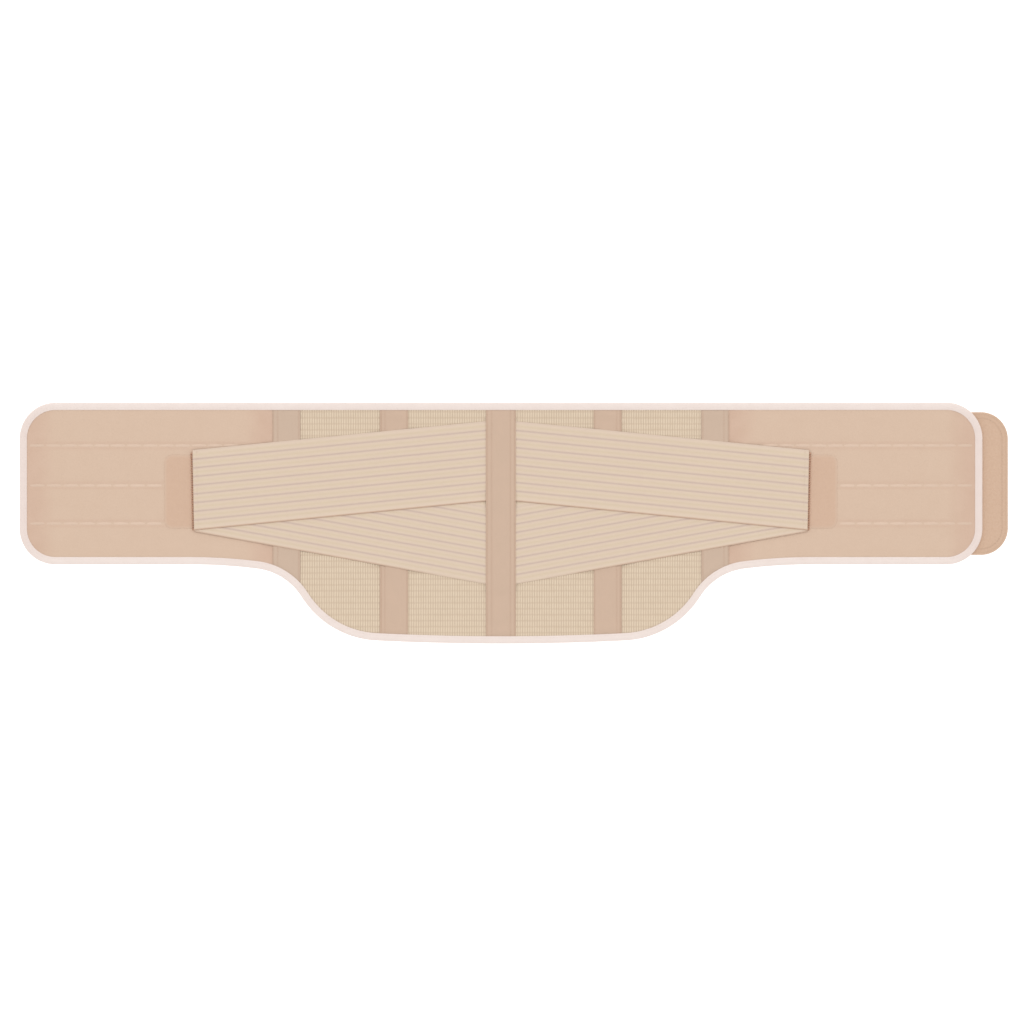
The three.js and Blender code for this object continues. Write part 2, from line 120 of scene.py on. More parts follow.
# Places of the quilting lines, tapes, straps and tabs
QUILT_LINES = (-40, -2, 38)
SEAM_X = middle_and_width("seam_tape_right")[0]
STAY_X, TAPE_WIDTH = middle_and_width("stay_tape_right")
SPINE_WIDTH = middle_and_width("spine_tape")[1]
STRAP_INNER_X, STRAP_OUTER_X = [corner[0] for corner in span("strap_upper_right")]
STRAP_SHOWS_X = 14
TAB_LOW, TAB_HIGH = span("strap_tab_right")
STRAP_TAB_CORNER = 8
CLOSURE_LOW, CLOSURE_HIGH = span("closure_tab")
CLOSURE_CORNER = 27

# Heights of the layers over the flat part of the panels
ON_MESH = MESH_THICK + SEWN_GAP
ON_STAY_TAPE = ON_MESH + STAY_TAPE_CROWN + SEWN_GAP
ON_SEAM_TAPE = ON_MESH + SEAM_TAPE_CROWN + SEWN_GAP
ON_STRAP_TAB = QUILT_VALLEY + SEWN_GAP + STRAP_TAB_THICK + SEWN_GAP
STRAP_RISE = STRAP_THICK + SEWN_GAP
ON_STRAP = ON_MESH + STRAP_RISE


# Small maths

# Values in pairs are a start and an end for ease, a height and a width for bump_at, or a reach and a size for
# soft_noise

# A rounded edge starts at this share of its width, which keeps a sheet's two faces apart
ROUND_START = 0.02

EASE_SAMPLES = 9
EASE_PEAK = 1.1
NOISE_WAVES = 9
NOISE_LENGTHS = (0.7, 1.6)
NOISE_SPREAD = 1.5


def ease(start, end, value):
    """0 before start, 1 after end and a smooth climb between them."""
    share = np.clip((value - start) / (end - start), 0, 1)
    return share * share * (3 - 2 * share)


def bump_at(distance, height, width):
    """A smooth bump of this height and about this half width."""
    return height * np.exp(-((distance / width) ** 2))


def rounded(distance, width):
    """Share of the full thickness at a distance from an edge that is rounded over this width."""
    return np.sqrt(1 - (1 - np.clip(distance / width, ROUND_START, 1)) ** 2)


def eased_table(value, places, heights, width):
    """Heights between the places of a table, with its bends rounded over this width to each side."""
    offsets = np.linspace(-1, 1, EASE_SAMPLES)
    weights = EASE_PEAK - np.abs(offsets)
    rounds = [weight * np.interp(value + width * offset, places, heights)
              for offset, weight in zip(offsets, weights)]
    return sum(rounds) / weights.sum()


def soft_noise(x, y, reach, size, name):
    """Smooth random ripples of about this reach, with lengths near this size. The name is their seed."""
    draw = np.random.default_rng(list(name.encode()))
    total = 0.0
    for _ in range(NOISE_WAVES):
        heading = draw.uniform(0, 2 * math.pi)
        length = size * draw.uniform(*NOISE_LENGTHS)
        phase = draw.uniform(0, 2 * math.pi)
        total = total + np.sin(2 * math.pi * (x * math.cos(heading) + y * math.sin(heading)) / length + phase)
    return reach * (total / math.sqrt(NOISE_WAVES) / NOISE_SPREAD)


def rim(radius, distance):
    """Height of a circle's rim at a distance from its centre, and 0 past the rim."""
    return np.sqrt(np.maximum(radius ** 2 - distance ** 2, 0))


def upper_edge(x, inset):
    """Y of the belt's upper edge, moved in by this inset."""
    past = np.maximum(np.abs(x) - CORNER_X, 0)
    return CORNER_Y + rim(CORNER_RADIUS - inset, past)


def lower_edge(x, inset):
    """Y of the belt's lower edge, moved in by this inset."""
    away = np.abs(x)
    before, heights = [], []
    for centre_x, centre_y, radius, side, slope in LOWER_ARCS:
        moved = radius - side * inset
        before.append(away <= centre_x + side * moved * math.sin(slope))
        heights.append(centre_y - side * rim(moved, away - centre_x))
    return np.select(before, heights, -upper_edge(x, inset))


def depth_in(x, y):
    """How far a place of the belt lies in from the outline."""
    away = np.abs(x)
    past = np.maximum(away - CORNER_X, 0)
    top, wing = [CORNER_RADIUS - np.hypot(past, np.maximum(up - CORNER_Y, 0)) for up in (y, -y)]
    before, depths = [], []
    for centre_x, centre_y, radius, side, slope in LOWER_ARCS:
        out, up = away - centre_x, y - centre_y
        before.append(out * math.cos(slope) + up * math.sin(slope) < 0)
        depths.append(side * (radius - np.hypot(out, up)))
    return np.minimum(top, np.select(before, depths, wing))


# Lie of the belt on the floor

SWAY = 0.4
SWAY_LENGTH = 210


def sway(x, y):
    """The slow rise and fall of the whole belt, which is soft and not quite flat."""
    return SWAY * np.maximum(1 + soft_noise(x, y, 1, SWAY_LENGTH, "sway"), 0)


def lift_at(x):
    """How far the closure tab raises the right wing."""
    return LIFT * ease(*LIFT_SPAN, x)


def panel_under(x, y):
    """Height of the underside of the panels and wings."""
    rise = EDGE_RISE * (1 - ease(MOUTH_INSET, MOUTH_INSET + DRAPE_WIDTH, depth_in(x, y)))
    return rise + lift_at(x)


# Lie of the straps and tabs

# A strap sinks to the mesh between the tapes. It climbs to a tape between these distances from its middle,
# and is as high as its tab just before it
CLIMB_START = 29
CLIMB_END = 11
BEFORE_TAB = 1

# Heights of a strap's underside by distance from the spine
BED_PLACES = (STAY_X - CLIMB_START, STAY_X - CLIMB_END, STAY_X + CLIMB_END, STAY_X + CLIMB_START,
              SEAM_X - CLIMB_START, SEAM_X - CLIMB_END, SEAM_X + CLIMB_END, TAB_LOW[0] - BEFORE_TAB)
BED_HEIGHTS = (ON_MESH, ON_STAY_TAPE, ON_STAY_TAPE, ON_MESH,
               ON_MESH, ON_SEAM_TAPE, ON_SEAM_TAPE, ON_STRAP_TAB)
BED_EASE = 9

# Each strap's lower and upper edge, both at the spine tape and at the outer end. Its lowest rib is wider by a
# foot, and a plain margin runs along its top edge, both as shares of the strap's height
STRAPS = {
    "upper": {"edges": ((-17.75, -47.0), (62.5, 33.5)), "foot": 0.019, "margin": 0.009},
    "lower": {"edges": ((-100.75, -48.0), (-18.25, 33.25)), "foot": 0.011, "margin": 0.069},
}
RIBS = 9

# An upper strap rises between these distances past a lower one's edge
RISE_SPAN = (-6, 4)


def strap_edges(level, away):
    """Y of a strap's lower and upper edge at a distance from the spine."""
    return [at_spine + (at_end - at_spine) * (away - STRAP_SHOWS_X) / (STRAP_OUTER_X - STRAP_SHOWS_X)
            for at_spine, at_end in STRAPS[level]["edges"]]


def strap_under(level, away, y):
    """Height of a strap's underside."""
    bed = eased_table(away, BED_PLACES, BED_HEIGHTS, BED_EASE)
    if level == "lower":
        return bed
    past = strap_edges("lower", away)[1] - y
    return bed + STRAP_RISE * ease(*RISE_SPAN, past)


def under_strap(x, y):
    """True where a strap lies over a place."""
    away = np.abs(x)
    lows, highs = zip(*[strap_edges(level, away) for level in STRAPS])
    return (away < STRAP_OUTER_X) & (y > np.minimum(*lows)) & (y < np.maximum(*highs))


def outside_tab(x, y):
    """How far a place lies outside the nearest strap tab, and inside it as a number below 0."""
    middle = (TAB_LOW + TAB_HIGH) / 2
    half = (TAB_HIGH - TAB_LOW) / 2 - STRAP_TAB_CORNER
    past_x = np.abs(np.abs(x) - middle[0]) - half[0]
    past_y = np.abs(y - middle[1]) - half[1]
    corner = np.hypot(np.maximum(past_x, 0), np.maximum(past_y, 0))
    return corner + np.minimum(np.maximum(past_x, past_y), 0) - STRAP_TAB_CORNER


# Making meshes

SHARP_ANGLE = math.radians(55)


def add_object(name, data):
    made_object = bpy.data.objects.new(name, data)
    bpy.context.scene.collection.objects.link(made_object)
    return made_object


def add_piece(name, points, faces, material, node=None):
    """A mesh piece from points in millimetres, which follows the belt's sway and rides on its one body."""
    lying = np.array(points, float)
    lying[:, 2] += sway(lying[:, 0], lying[:, 1])
    mesh = bpy.data.meshes.new(name)
    mesh.from_pydata((lying * MM).tolist(), [], faces)
    mesh.shade_smooth()
    mesh.set_sharp_from_angle(angle=SHARP_ANGLE)
    mesh.materials.append(material)
    piece = add_object(name, mesh)
    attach(piece, "root")
    if node:
        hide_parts(node)
    return piece


def for_points(piece, values):
    """A number for each point. The lower points of a closed sheet take the numbers of its upper ones."""
    return np.resize(values, len(piece.data.vertices))


def set_values(piece, name, values):
    """Keeps a number for each point, which the piece's material reads by this name."""
    kept = piece.data.attributes.new(name, "FLOAT", "POINT")
    kept.data.foreach_set("value", for_points(piece, values).astype(np.float32))


def set_grain(piece, along, across, round_length=None):
    """Lays the cloth's grain on the piece as a map in metres.

    A strip that closes on itself gives its length round, and its last faces then run on past that length.
    """
    layer = piece.data.uv_layers.new(name="Grain")
    corners = np.empty(len(piece.data.loops), np.int32)
    piece.data.loops.foreach_get("vertex_index", corners)
    grain = np.stack([for_points(piece, along), for_points(piece, across)], 1)[corners]
    if round_length:
        quads = grain.reshape(-1, 4, 2)[:, :, 0]
        closing = (np.ptp(quads, axis=1) > round_length / 2)[:, None]
        quads += np.where(closing & (quads < round_length / 2), round_length, 0)
    layer.uv.foreach_set("vector", (grain * MM).astype(np.float32).ravel())


def strip_grid(columns, rows, inset):
    """Places from the belt's lower to its upper edge, and the height between the edges at each column."""
    x, share = np.meshgrid(columns, np.linspace(0, 1, rows), indexing="ij")
    low, high = lower_edge(x, inset), upper_edge(x, inset)
    return x, low * (1 - share) + high * share, (high - low)[:, 0]


def grid_faces(columns, rows):
    """Faces of a grid of points, seen from above as counter-clockwise."""
    i, j = np.meshgrid(np.arange(columns - 1), np.arange(rows - 1), indexing="ij")
    start = (i * rows + j).ravel()
    return np.stack([start, start + rows, start + rows + 1, start + 1], 1)


def sheet_faces(columns, rows):
    """Faces of a closed sheet: a grid of upper points, one of lower points and the walls between them."""
    count = columns * rows
    top = grid_faces(columns, rows)
    bottom = top[:, ::-1] + count
    index = np.arange(count).reshape(columns, rows)
    border = np.concatenate([index[:, 0], index[-1, 1:], index[-2::-1, -1], index[0, -2:0:-1]])
    after = np.roll(border, -1)
    walls = np.stack([border + count, after + count, after, border], 1)
    return np.concatenate([top, bottom, walls]).tolist()


def add_sheet(name, x, y, under, over, material, node=None):
    """A closed sheet on a grid of places, with the heights of both its faces."""
    upper = np.stack([x, y, over], -1).reshape(-1, 3)
    lower = np.stack([x, y, under], -1).reshape(-1, 3)
    return add_piece(name, np.concatenate([upper, lower]), sheet_faces(*x.shape), material, node)


def flat_at(height):
    """A level surface at this height."""
    return lambda x, y: np.full_like(x, height)


THREAD_SIDES = 6
THREAD_STATIONS = np.array([-0.5, -0.4, 0.0, 0.4, 0.5])

# A stitch rises in its middle, dips at its ends and is thinner there, all as shares of its radius
THREAD_RISE = 0.6
THREAD_DIP = 1.9
THREAD_TAPER = 0.35


def stitch_row(path, top, pitch, length, radius, flat=1.0):
    """Points of a row of stitches along a path over a surface, as stitches, stations, sides and axes.

    A flat share under 1 makes them lower than they are wide.
    """
    steps = np.hypot(*np.diff(path, axis=0).T)
    walked = np.concatenate([[0], np.cumsum(steps)])
    count = max(int(walked[-1] // pitch), 1)
    middles = (np.arange(count) + 0.5) * walked[-1] / count
    stations = middles[:, None] + length * THREAD_STATIONS
    x = np.interp(stations, walked, path[:, 0])
    y = np.interp(stations, walked, path[:, 1])
    heading = np.arctan2(y[:, -1] - y[:, 0], x[:, -1] - x[:, 0])[:, None, None]
    toward_end = (2 * THREAD_STATIONS) ** 4
    arch = flat * radius * (THREAD_RISE - THREAD_DIP * toward_end)
    thick = radius * (1 - THREAD_TAPER * toward_end)
    turn = 2 * math.pi * np.arange(THREAD_SIDES) / THREAD_SIDES
    sideways = thick[None, :, None] * np.cos(turn)
    upward = flat * thick[None, :, None] * np.sin(turn)
    height = (top(x, y) + arch)[:, :, None] + upward
    return np.stack([x[:, :, None] - sideways * np.sin(heading), y[:, :, None] + sideways * np.cos(heading),
                     height], -1)


def add_stitches(name, rows, material):
    """All the stitches of these rows as one joined piece."""
    stitches = np.concatenate(rows)
    stations, sides = stitches.shape[1:3]
    ring = np.arange(sides)
    after = np.roll(ring, -1)
    near = np.arange(stations - 1)[:, None] * sides
    far = near + sides
    walls = np.stack([near + ring, far + ring, far + after, near + after], -1).reshape(-1, 4)
    pattern = [*walls.tolist(), ring.tolist(), (ring[::-1] + (stations - 1) * sides).tolist()]
    firsts = range(0, len(stitches) * stations * sides, stations * sides)
    faces = [[first + corner for corner in face] for first in firsts for face in pattern]
    return add_piece(name, stitches.reshape(-1, 3), faces, material)


# Materials

LIGHT_LEVEL = 1.12
CLOTH_GLOSS = 0.25
SHEEN_SPREAD = 0.5

# Scale of a wave texture that has one band in each unit of length
WAVE_SCALE = math.pi / 10


def paint(red, green, blue):
    """The surface colour that shows as this screen colour under the scene's light."""
    shares = np.array([red, green, blue]) / 255
    linear = np.where(shares <= 0.04045, shares / 12.92, ((shares + 0.055) / 1.055) ** 2.4)
    return (*(linear / LIGHT_LEVEL), 1.0)


def set_inputs(node, values):
    for name, value in values.items():
        node.inputs[name].default_value = value


class Cloth:
    """A cloth material while it is made: its nodes, and the shader that they end in."""

    def __init__(self, name, roughness, sheen):
        self.material = bpy.data.materials.new(name)
        self.material.use_nodes = True
        self.tree = self.material.node_tree
        self.shader = self.tree.nodes["Principled BSDF"]
        set_inputs(self.shader, {"Roughness": roughness, "Specular IOR Level": CLOTH_GLOSS,
                                 "Sheen Weight": sheen, "Sheen Roughness": SHEEN_SPREAD})
        self.place = self.node("ShaderNodeTexCoord").outputs["Object"]

    def node(self, kind, inputs=None, **settings):
        made_node = self.tree.nodes.new(kind)
        for name, value in settings.items():
            setattr(made_node, name, value)
        for name, value in (inputs or {}).items():
            socket = made_node.inputs[name]
            if isinstance(value, bpy.types.NodeSocket):
                self.tree.links.new(value, socket)
            else:
                socket.default_value = value
        return made_node

    def noise(self, size, detail=2.0):
        """Random patches of about this size, in millimetres."""
        inputs = {"Vector": self.place, "Scale": 1 / (size * MM), "Detail": detail}
        return self.node("ShaderNodeTexNoise", inputs).outputs["Fac"]

    def ribs(self, pitch, direction="X", turned=0.0):
        """Even ribs of this pitch, across one direction of the grain."""
        grain = self.node("ShaderNodeUVMap", uv_map="Grain").outputs[0]
        if turned:
            grain = self.node("ShaderNodeVectorRotate", {"Vector": grain, "Angle": turned},
                              rotation_type="Z_AXIS").outputs[0]
        found = self.node("ShaderNodeTexWave", {"Vector": grain, "Scale": WAVE_SCALE / (pitch * MM)},
                          bands_direction=direction)
        return found.outputs["Fac"]

    def kept(self, name):
        """A number that the mesh keeps for each point."""
        return self.node("ShaderNodeAttribute", attribute_name=name).outputs["Fac"]

    def maths(self, operation, first, second):
        return self.node("ShaderNodeMath", {0: first, 1: second}, operation=operation).outputs[0]

    def mix(self, share, first, second):
        """A colour between two colours, each made by other nodes or given as a screen colour."""
        colours = [paint(*colour) if isinstance(colour, tuple) else colour for colour in (first, second)]
        mixed = self.node("ShaderNodeMix", {0: share, 6: colours[0], 7: colours[1]}, data_type="RGBA")
        return mixed.outputs[2]

    def finish(self, colour, heights):
        """Sets the colour, and a bump made of heights with their depths in millimetres."""
        self.tree.links.new(colour, self.shader.inputs["Base Color"])
        total = None
        for height, depth in heights:
            part = self.maths("MULTIPLY", height, depth * MM)
            total = part if total is None else self.maths("ADD", total, part)
        bump = self.node("ShaderNodeBump", {"Height": total, "Distance": 1.0})
        self.tree.links.new(bump.outputs[0], self.shader.inputs["Normal"])
        return self.material


def wing_cloth():
    """Brushed loop cloth with soft fuzz. Where its piece has a tint it turns a cloudy pink: painted shade at
    the wings' ends, by the seams and beside the quilting lines, and a blend into each strap tab.
    """
    cloth = Cloth("wing_cloth", roughness=0.92, sheen=0.25)
    fuzz = cloth.noise(0.8, 3)
    cloud = cloth.noise(14)
    body = cloth.mix(fuzz, (212, 186, 163), (227, 202, 179))
    pink = cloth.mix(cloud, (209, 177, 155), (217, 187, 166))
    colour = cloth.mix(cloth.kept("tint"), body, pink)
    return cloth.finish(colour, [(fuzz, 0.25), (cloth.noise(2.6), 0.25)])


def mesh_cloth():
    """Spacer mesh: the openings of the net are darker, for the darker yarn inside and for painted shade in
    them.
    """
    cloth = Cloth("mesh_cloth", roughness=0.9, sheen=0.15)
    yarn = cloth.noise(0.5)
    net = cloth.mix(yarn, (227, 208, 184), (235, 217, 193))
    inside = cloth.mix(cloth.noise(20), (200, 176, 151), (207, 184, 159))
    colour = cloth.mix(cloth.kept("tint"), net, inside)
    return cloth.finish(colour, [(yarn, 0.12)])


def binding_cloth():
    """Pale folded stretch strip with fine ribs across it, and a darker painted shade where its piece has a
    tint.
    """
    cloth = Cloth("binding_cloth", roughness=0.75, sheen=0.35)
    ribs = cloth.ribs(0.9)
    shade = cloth.mix(cloth.noise(9), (239, 223, 215), (245, 231, 224))
    colour = cloth.mix(cloth.kept("tint"), shade, (226, 203, 193))
    return cloth.finish(colour, [(ribs, 0.08), (cloth.noise(0.7), 0.06)])


def tape_cloth(name, body, worn, twill_highlight):
    """Smooth woven tape: a fine slanted twill with a painted highlight on its raised threads, and painted
    shade along its stitching and its edges.
    """
    cloth = Cloth(name, roughness=0.72, sheen=0.2)
    twill = cloth.ribs(0.9, turned=math.radians(38))
    shade = cloth.mix(cloth.noise(11), body, worn)
    # Painted highlight on the raised threads of the twill
    fine = cloth.mix(cloth.maths("MULTIPLY", twill, 0.4), shade, twill_highlight)
    colour = cloth.mix(cloth.kept("tint"), fine, (180, 144, 120))
    return cloth.finish(colour, [(twill, 0.07), (cloth.noise(0.6), 0.05)])


def elastic_cloth():
    """Ribbed elastic webbing: cross threads with a painted highlight, warm rib middles, mauve painted shade
    in its grooves and a brown painted shadow along its lower edge and outer end.
    """
    cloth = Cloth("elastic_cloth", roughness=0.85, sheen=0.2)
    weft = cloth.ribs(1.1)
    warp = cloth.ribs(1.25, direction="Y")
    shade = cloth.mix(cloth.noise(7), (224, 201, 183), (226, 206, 182))
    # Painted highlight on the raised cross threads
    fine = cloth.mix(cloth.maths("MULTIPLY", weft, 0.25), shade, (238, 220, 201))
    warm = cloth.mix(cloth.kept("middle"), fine, (216, 196, 166))
    # Mauve painted shade in the grooves
    lined = cloth.mix(cloth.kept("tint"), warm, (203, 180, 168))
    # Brown painted shadow along the lower edge and the outer end
    colour = cloth.mix(cloth.kept("edge"), lined, (202, 170, 147))
    return cloth.finish(colour, [(weft, 0.1), (warp, 0.05), (cloth.noise(0.6), 0.05)])


def hook_cloth(name, dark, light, depth):
    """Hook tape: a close field of tiny hooks, which looks mottled and fades into wing cloth at its edge.

    It is darker along the lines of its border.
    """
    cloth = Cloth(name, roughness=0.95, sheen=0.3)
    cells = cloth.node("ShaderNodeTexVoronoi", {"Vector": cloth.place, "Scale": 1 / (1.3 * MM)}).outputs[0]
    mottle = cloth.noise(2.2, 3)
    body = cloth.mix(mottle, dark, light)
    lined = cloth.mix(cloth.kept("tint"), body, (196, 164, 138))
    colour = cloth.mix(cloth.kept("edge"), lined, (216, 189, 167))
    return cloth.finish(colour, [(cells, depth), (mottle, depth / 2)])


def thread_cloth(name, colour, worn, dull_colour=None):
    """Twisted sewing thread, which takes on its duller colour where its piece has a tint."""
    cloth = Cloth(name, roughness=0.6, sheen=0.3)
    fibre = cloth.noise(0.4)
    shade = cloth.mix(fibre, worn, colour)
    if dull_colour:
        shade = cloth.mix(cloth.kept("tint"), shade, dull_colour)
    return cloth.finish(shade, [(fibre, 0.05)])


WING_CLOTH = wing_cloth()
MESH_CLOTH = mesh_cloth()
BINDING_CLOTH = binding_cloth()
# The last colour of each tape is its painted twill highlight
STAY_CLOTH = tape_cloth("stay_tape_cloth", (203, 176, 154), (209, 180, 158), (214, 187, 165))
SEAM_CLOTH = tape_cloth("seam_tape_cloth", (201, 177, 157), (206, 181, 160), (213, 187, 166))
ELASTIC_CLOTH = elastic_cloth()
STRAP_TAB_CLOTH = hook_cloth("strap_tab_cloth", (208, 175, 151), (216, 184, 160), 0.12)
CLOSURE_CLOTH = hook_cloth("closure_cloth", (206, 171, 145), (219, 189, 165), 0.26)
QUILT_THREAD = thread_cloth("quilt_thread", (227, 200, 179), (221, 194, 173), (217, 190, 169))
TAPE_THREAD = thread_cloth("tape_thread", (208, 179, 157), (199, 168, 146))
STRAP_THREAD = thread_cloth("strap_thread", (224, 203, 183), (215, 193, 173))
# Dark thread for the row that paints the shadow of each upper strap's end on its tab
END_SHADOW_THREAD = thread_cloth("painted_end_shadow_thread", (198, 154, 126), (184, 140, 112))
BINDING_THREAD = thread_cloth("binding_thread", (243, 230, 223), (234, 217, 209))


# Back panel: a closed backing, and a net with rows of small upright loops

NET_COLUMN = 2.42
NET_ROW = 5.97
NET_DEPTH = 0.45
NET_INSET = 2.0
BACKING_THICK = MESH_THICK - NET_DEPTH - SEWN_GAP
SEAM_EDGE = SEAM_X - GAP / 2
PANEL_COLUMNS = 121
PANEL_ROWS = 61

# How uneven the net's loops, heights, columns and rows are, each as a reach and the size of its ripples
LOOP_UNEVEN = (0.1, 9)
NET_UNEVEN = (0.05, 5)
COLUMN_UNEVEN = (0.07, 13)
ROW_UNEVEN = (0.12, 17)

# Places of the net's points inside one cell of it, as shares of the cell, and how far the loop rises there
NET_ACROSS = ((0.0, 0.0), (0.24, 0.8), (0.5, 1.0), (0.76, 0.8))
NET_UP = ((0.0, 0.45), (0.22, 1.0), (0.78, 1.0))


def net_lines(pitch, shares, low, high):
    """Places of the net's lines in one direction between two limits, and how far the loops rise there."""
    cells = np.arange(math.floor(low / pitch), math.ceil(high / pitch))
    places = np.concatenate([(cells + share) * pitch for share, _ in shares])
    rises = np.concatenate([np.full(len(cells), rise) for _, rise in shares])
    order = np.argsort(places)
    return places[order], rises[order]


def add_net():
    columns, across = net_lines(NET_COLUMN, NET_ACROSS, -SEAM_EDGE, SEAM_EDGE)
    rows, up = net_lines(NET_ROW, NET_UP, float(lower_edge(0, 0)), WING_HALF_HEIGHT)
    inside = np.abs(columns) <= SEAM_EDGE
    x, y = np.meshgrid(columns[inside], rows, indexing="ij")
    loop = 1 - LOOP_UNEVEN[0] + soft_noise(x, y, *LOOP_UNEVEN, "loops")
    opening = 1 - across[inside][:, None] * up[None, :] * loop
    over = panel_under(x, y) + MESH_THICK - NET_DEPTH * opening + soft_noise(x, y, *NET_UNEVEN, "net")
    kept = (depth_in(x, y) >= NET_INSET).ravel()
    faces = grid_faces(*x.shape)
    faces = faces[kept[faces].all(1)]
    used, faces = np.unique(faces, return_inverse=True)
    shift_x = soft_noise(x, y, *COLUMN_UNEVEN, "columns")
    shift_y = soft_noise(x, y, *ROW_UNEVEN, "rows")
    points = np.stack([x + shift_x, y + shift_y, over], -1).reshape(-1, 3)[used]
    net = add_piece("back_panel_net", points, faces.reshape(-1, 4).tolist(), MESH_CLOTH)
    # The tint darkens the openings by their depth: the yarn inside them and painted shade
    set_values(net, "tint", np.ravel(opening)[used])
    return net


def add_back_panel():
    x, y, height = strip_grid(np.linspace(-SEAM_EDGE, SEAM_EDGE, PANEL_COLUMNS), PANEL_ROWS, EDGE_INSET)
    under = panel_under(x, y)
    panel = add_sheet("back_panel_mesh", x, y, under, under + BACKING_THICK, MESH_CLOTH, "back_panel")
    set_values(panel, "tint", 1)
    add_net()


# Quilting: the wings' outer cloth is simulated, held where it is sewn or pressed and blown up between

QUILT_STEP = 3.5
QUILT_FRAMES = 16
QUILT_SETTINGS = {"vertex_group_mass": "held", "mass": 0.001, "bending_stiffness": 0.05, "air_damping": 2,
                  "use_pressure": True, "uniform_pressure_force": 4.0, "shrink_min": -0.003}
ON_LINE = 0.1
QUILT_NAP = 0.05
QUILT_BOTTOM = -86.0
QUILT_TOP = 76.0
QUILT_COLUMNS = np.arange(SEAM_X + TAPE_WIDTH / 2 - QUILT_STEP, HALF_LENGTH, QUILT_STEP)


def quilt_rows():
    """Rows of the simulated cloth, with one on each quilting line."""
    stops = (QUILT_BOTTOM, *QUILT_LINES, QUILT_TOP)
    parts = [np.linspace(low, high, round((high - low) / QUILT_STEP), endpoint=False)
             for low, high in zip(stops, stops[1:])]
    return np.concatenate([*parts, stops[-1:]])


QUILT_ROWS = quilt_rows()


def line_distance(y):
    """Distance from the nearest quilting line."""
    return np.min([np.abs(y - line) for line in QUILT_LINES], axis=0)


def simulated_quilt(side):
    """Heights of a wing's pillows over the sewn lines, on the grid of columns and rows."""
    x, y = np.meshgrid(QUILT_COLUMNS, QUILT_ROWS, indexing="ij")
    nap = QUILT_NAP * np.random.default_rng(list(side.encode())).random(x.shape)
    mesh = bpy.data.meshes.new(f"{side}_quilt")
    points = np.stack([x, y, nap], -1).reshape(-1, 3) * MM
    mesh.from_pydata(points.tolist(), [], grid_faces(*x.shape).tolist())
    quilt = add_object(f"{side}_quilt", mesh)
    held = (line_distance(y) < ON_LINE) | (depth_in(x, y) < MOUTH_INSET) | (x < SEAM_X + TAPE_WIDTH / 2)
    held = held | under_strap(x, y) | (outside_tab(x, y) < 0)
    quilt.vertex_groups.new(name="held").add(np.flatnonzero(held).tolist(), 1.0, "REPLACE")
    modifier = quilt.modifiers.new("cloth", "CLOTH")
    modifier.collision_settings.use_collision = False
    modifier.settings.effector_weights.gravity = 0
    for name, value in QUILT_SETTINGS.items():
        setattr(modifier.settings, name, value)
    for step in range(1, QUILT_FRAMES + 1):
        bpy.context.scene.frame_set(step)
    settled = quilt.evaluated_get(bpy.context.evaluated_depsgraph_get()).to_mesh()
    places = np.empty(3 * x.size, np.float32)
    settled.vertices.foreach_get("co", places)
    bpy.context.scene.frame_set(1)
    bpy.data.objects.remove(quilt)
    bpy.data.meshes.remove(mesh)
    heights = np.maximum(places.reshape(*x.shape, 3)[:, :, 2] / MM, 0)
    return PILLOW_CAP * np.tanh(heights / PILLOW_CAP)


QUILTS = {side: simulated_quilt(side) for side in SIDES}


def curve_shares(place, count):
    """The four grid lines round a place, and their shares in a smooth curve through the grid."""
    first = np.clip(np.floor(place), 1, count - 3).astype(int)
    past = np.clip(place - first, 0, 1)
    shares = ((1 - past) ** 3, 4 - 6 * past ** 2 + 3 * past ** 3,
              1 + 3 * past + 3 * past ** 2 - 3 * past ** 3, past ** 3)
    return [(first + step, share / 6) for step, share in enumerate(shares, -1)]


def pillow(x, y):
    """Height of the simulated pillows at a place of the wings."""
    columns = curve_shares((np.abs(x) - QUILT_COLUMNS[0]) / QUILT_STEP, len(QUILT_COLUMNS))
    rows = curve_shares(np.interp(y, QUILT_ROWS, np.arange(len(QUILT_ROWS))), len(QUILT_ROWS))
    height = 0.0
    for column, column_share in columns:
        for row, row_share in rows:
            grid = np.where(x < 0, QUILTS["left"][column, row], QUILTS["right"][column, row])
            height = height + column_share * row_share * grid
    return height


# Wings: quilted sheets

CHANNEL = (0.25, 1.8)
# Painted shade on both sides of each quilting line: its strength and width, and its distance from the line
LINE_PAINTED_SHADE = (0.8, 1.5)
LINE_PAINTED_SHADE_PLACE = 2.7
TAB_TINT = 0.5
WING_STEP = 1.8
WING_END = HALF_LENGTH - EDGE_INSET - 0.05
LINE_ROWS = np.array([-3.4, -2.4, -1.7, -1.1, -0.5, 0, 0.5, 1.1, 1.7, 2.4, 3.4])
FIXED_ROWS_END = 43.4
FIXED_ROW_STEP = 1.2 * WING_STEP
FIXED_ROW_MARGIN = 0.6
FAN_ROWS = 18

# Distances from the spine, the edge and a tab over which the loft, the channels and the tints come or go
SEAM_LOFT_FADE = (SEAM_X + 14, SEAM_X + 32)
EDGE_LOFT_FADE = (MOUTH_INSET, MOUTH_INSET + 10)
CHANNEL_FADE = (-1, 3)
# Painted shade at the wings' ends and by the seam tapes fades out over these distances
END_PAINTED_SHADE_FADE = (10, 55)
SEAM_PAINTED_SHADE_FADE = (SEAM_X + 16, SEAM_X + 60)
TAB_TINT_FADE = (-0.5, 3)


def wing_loft(x, y):
    """Share of the quilt's loft: none under the seam tape and in the binding."""
    return ease(*SEAM_LOFT_FADE, np.abs(x)) * ease(*EDGE_LOFT_FADE, depth_in(x, y))


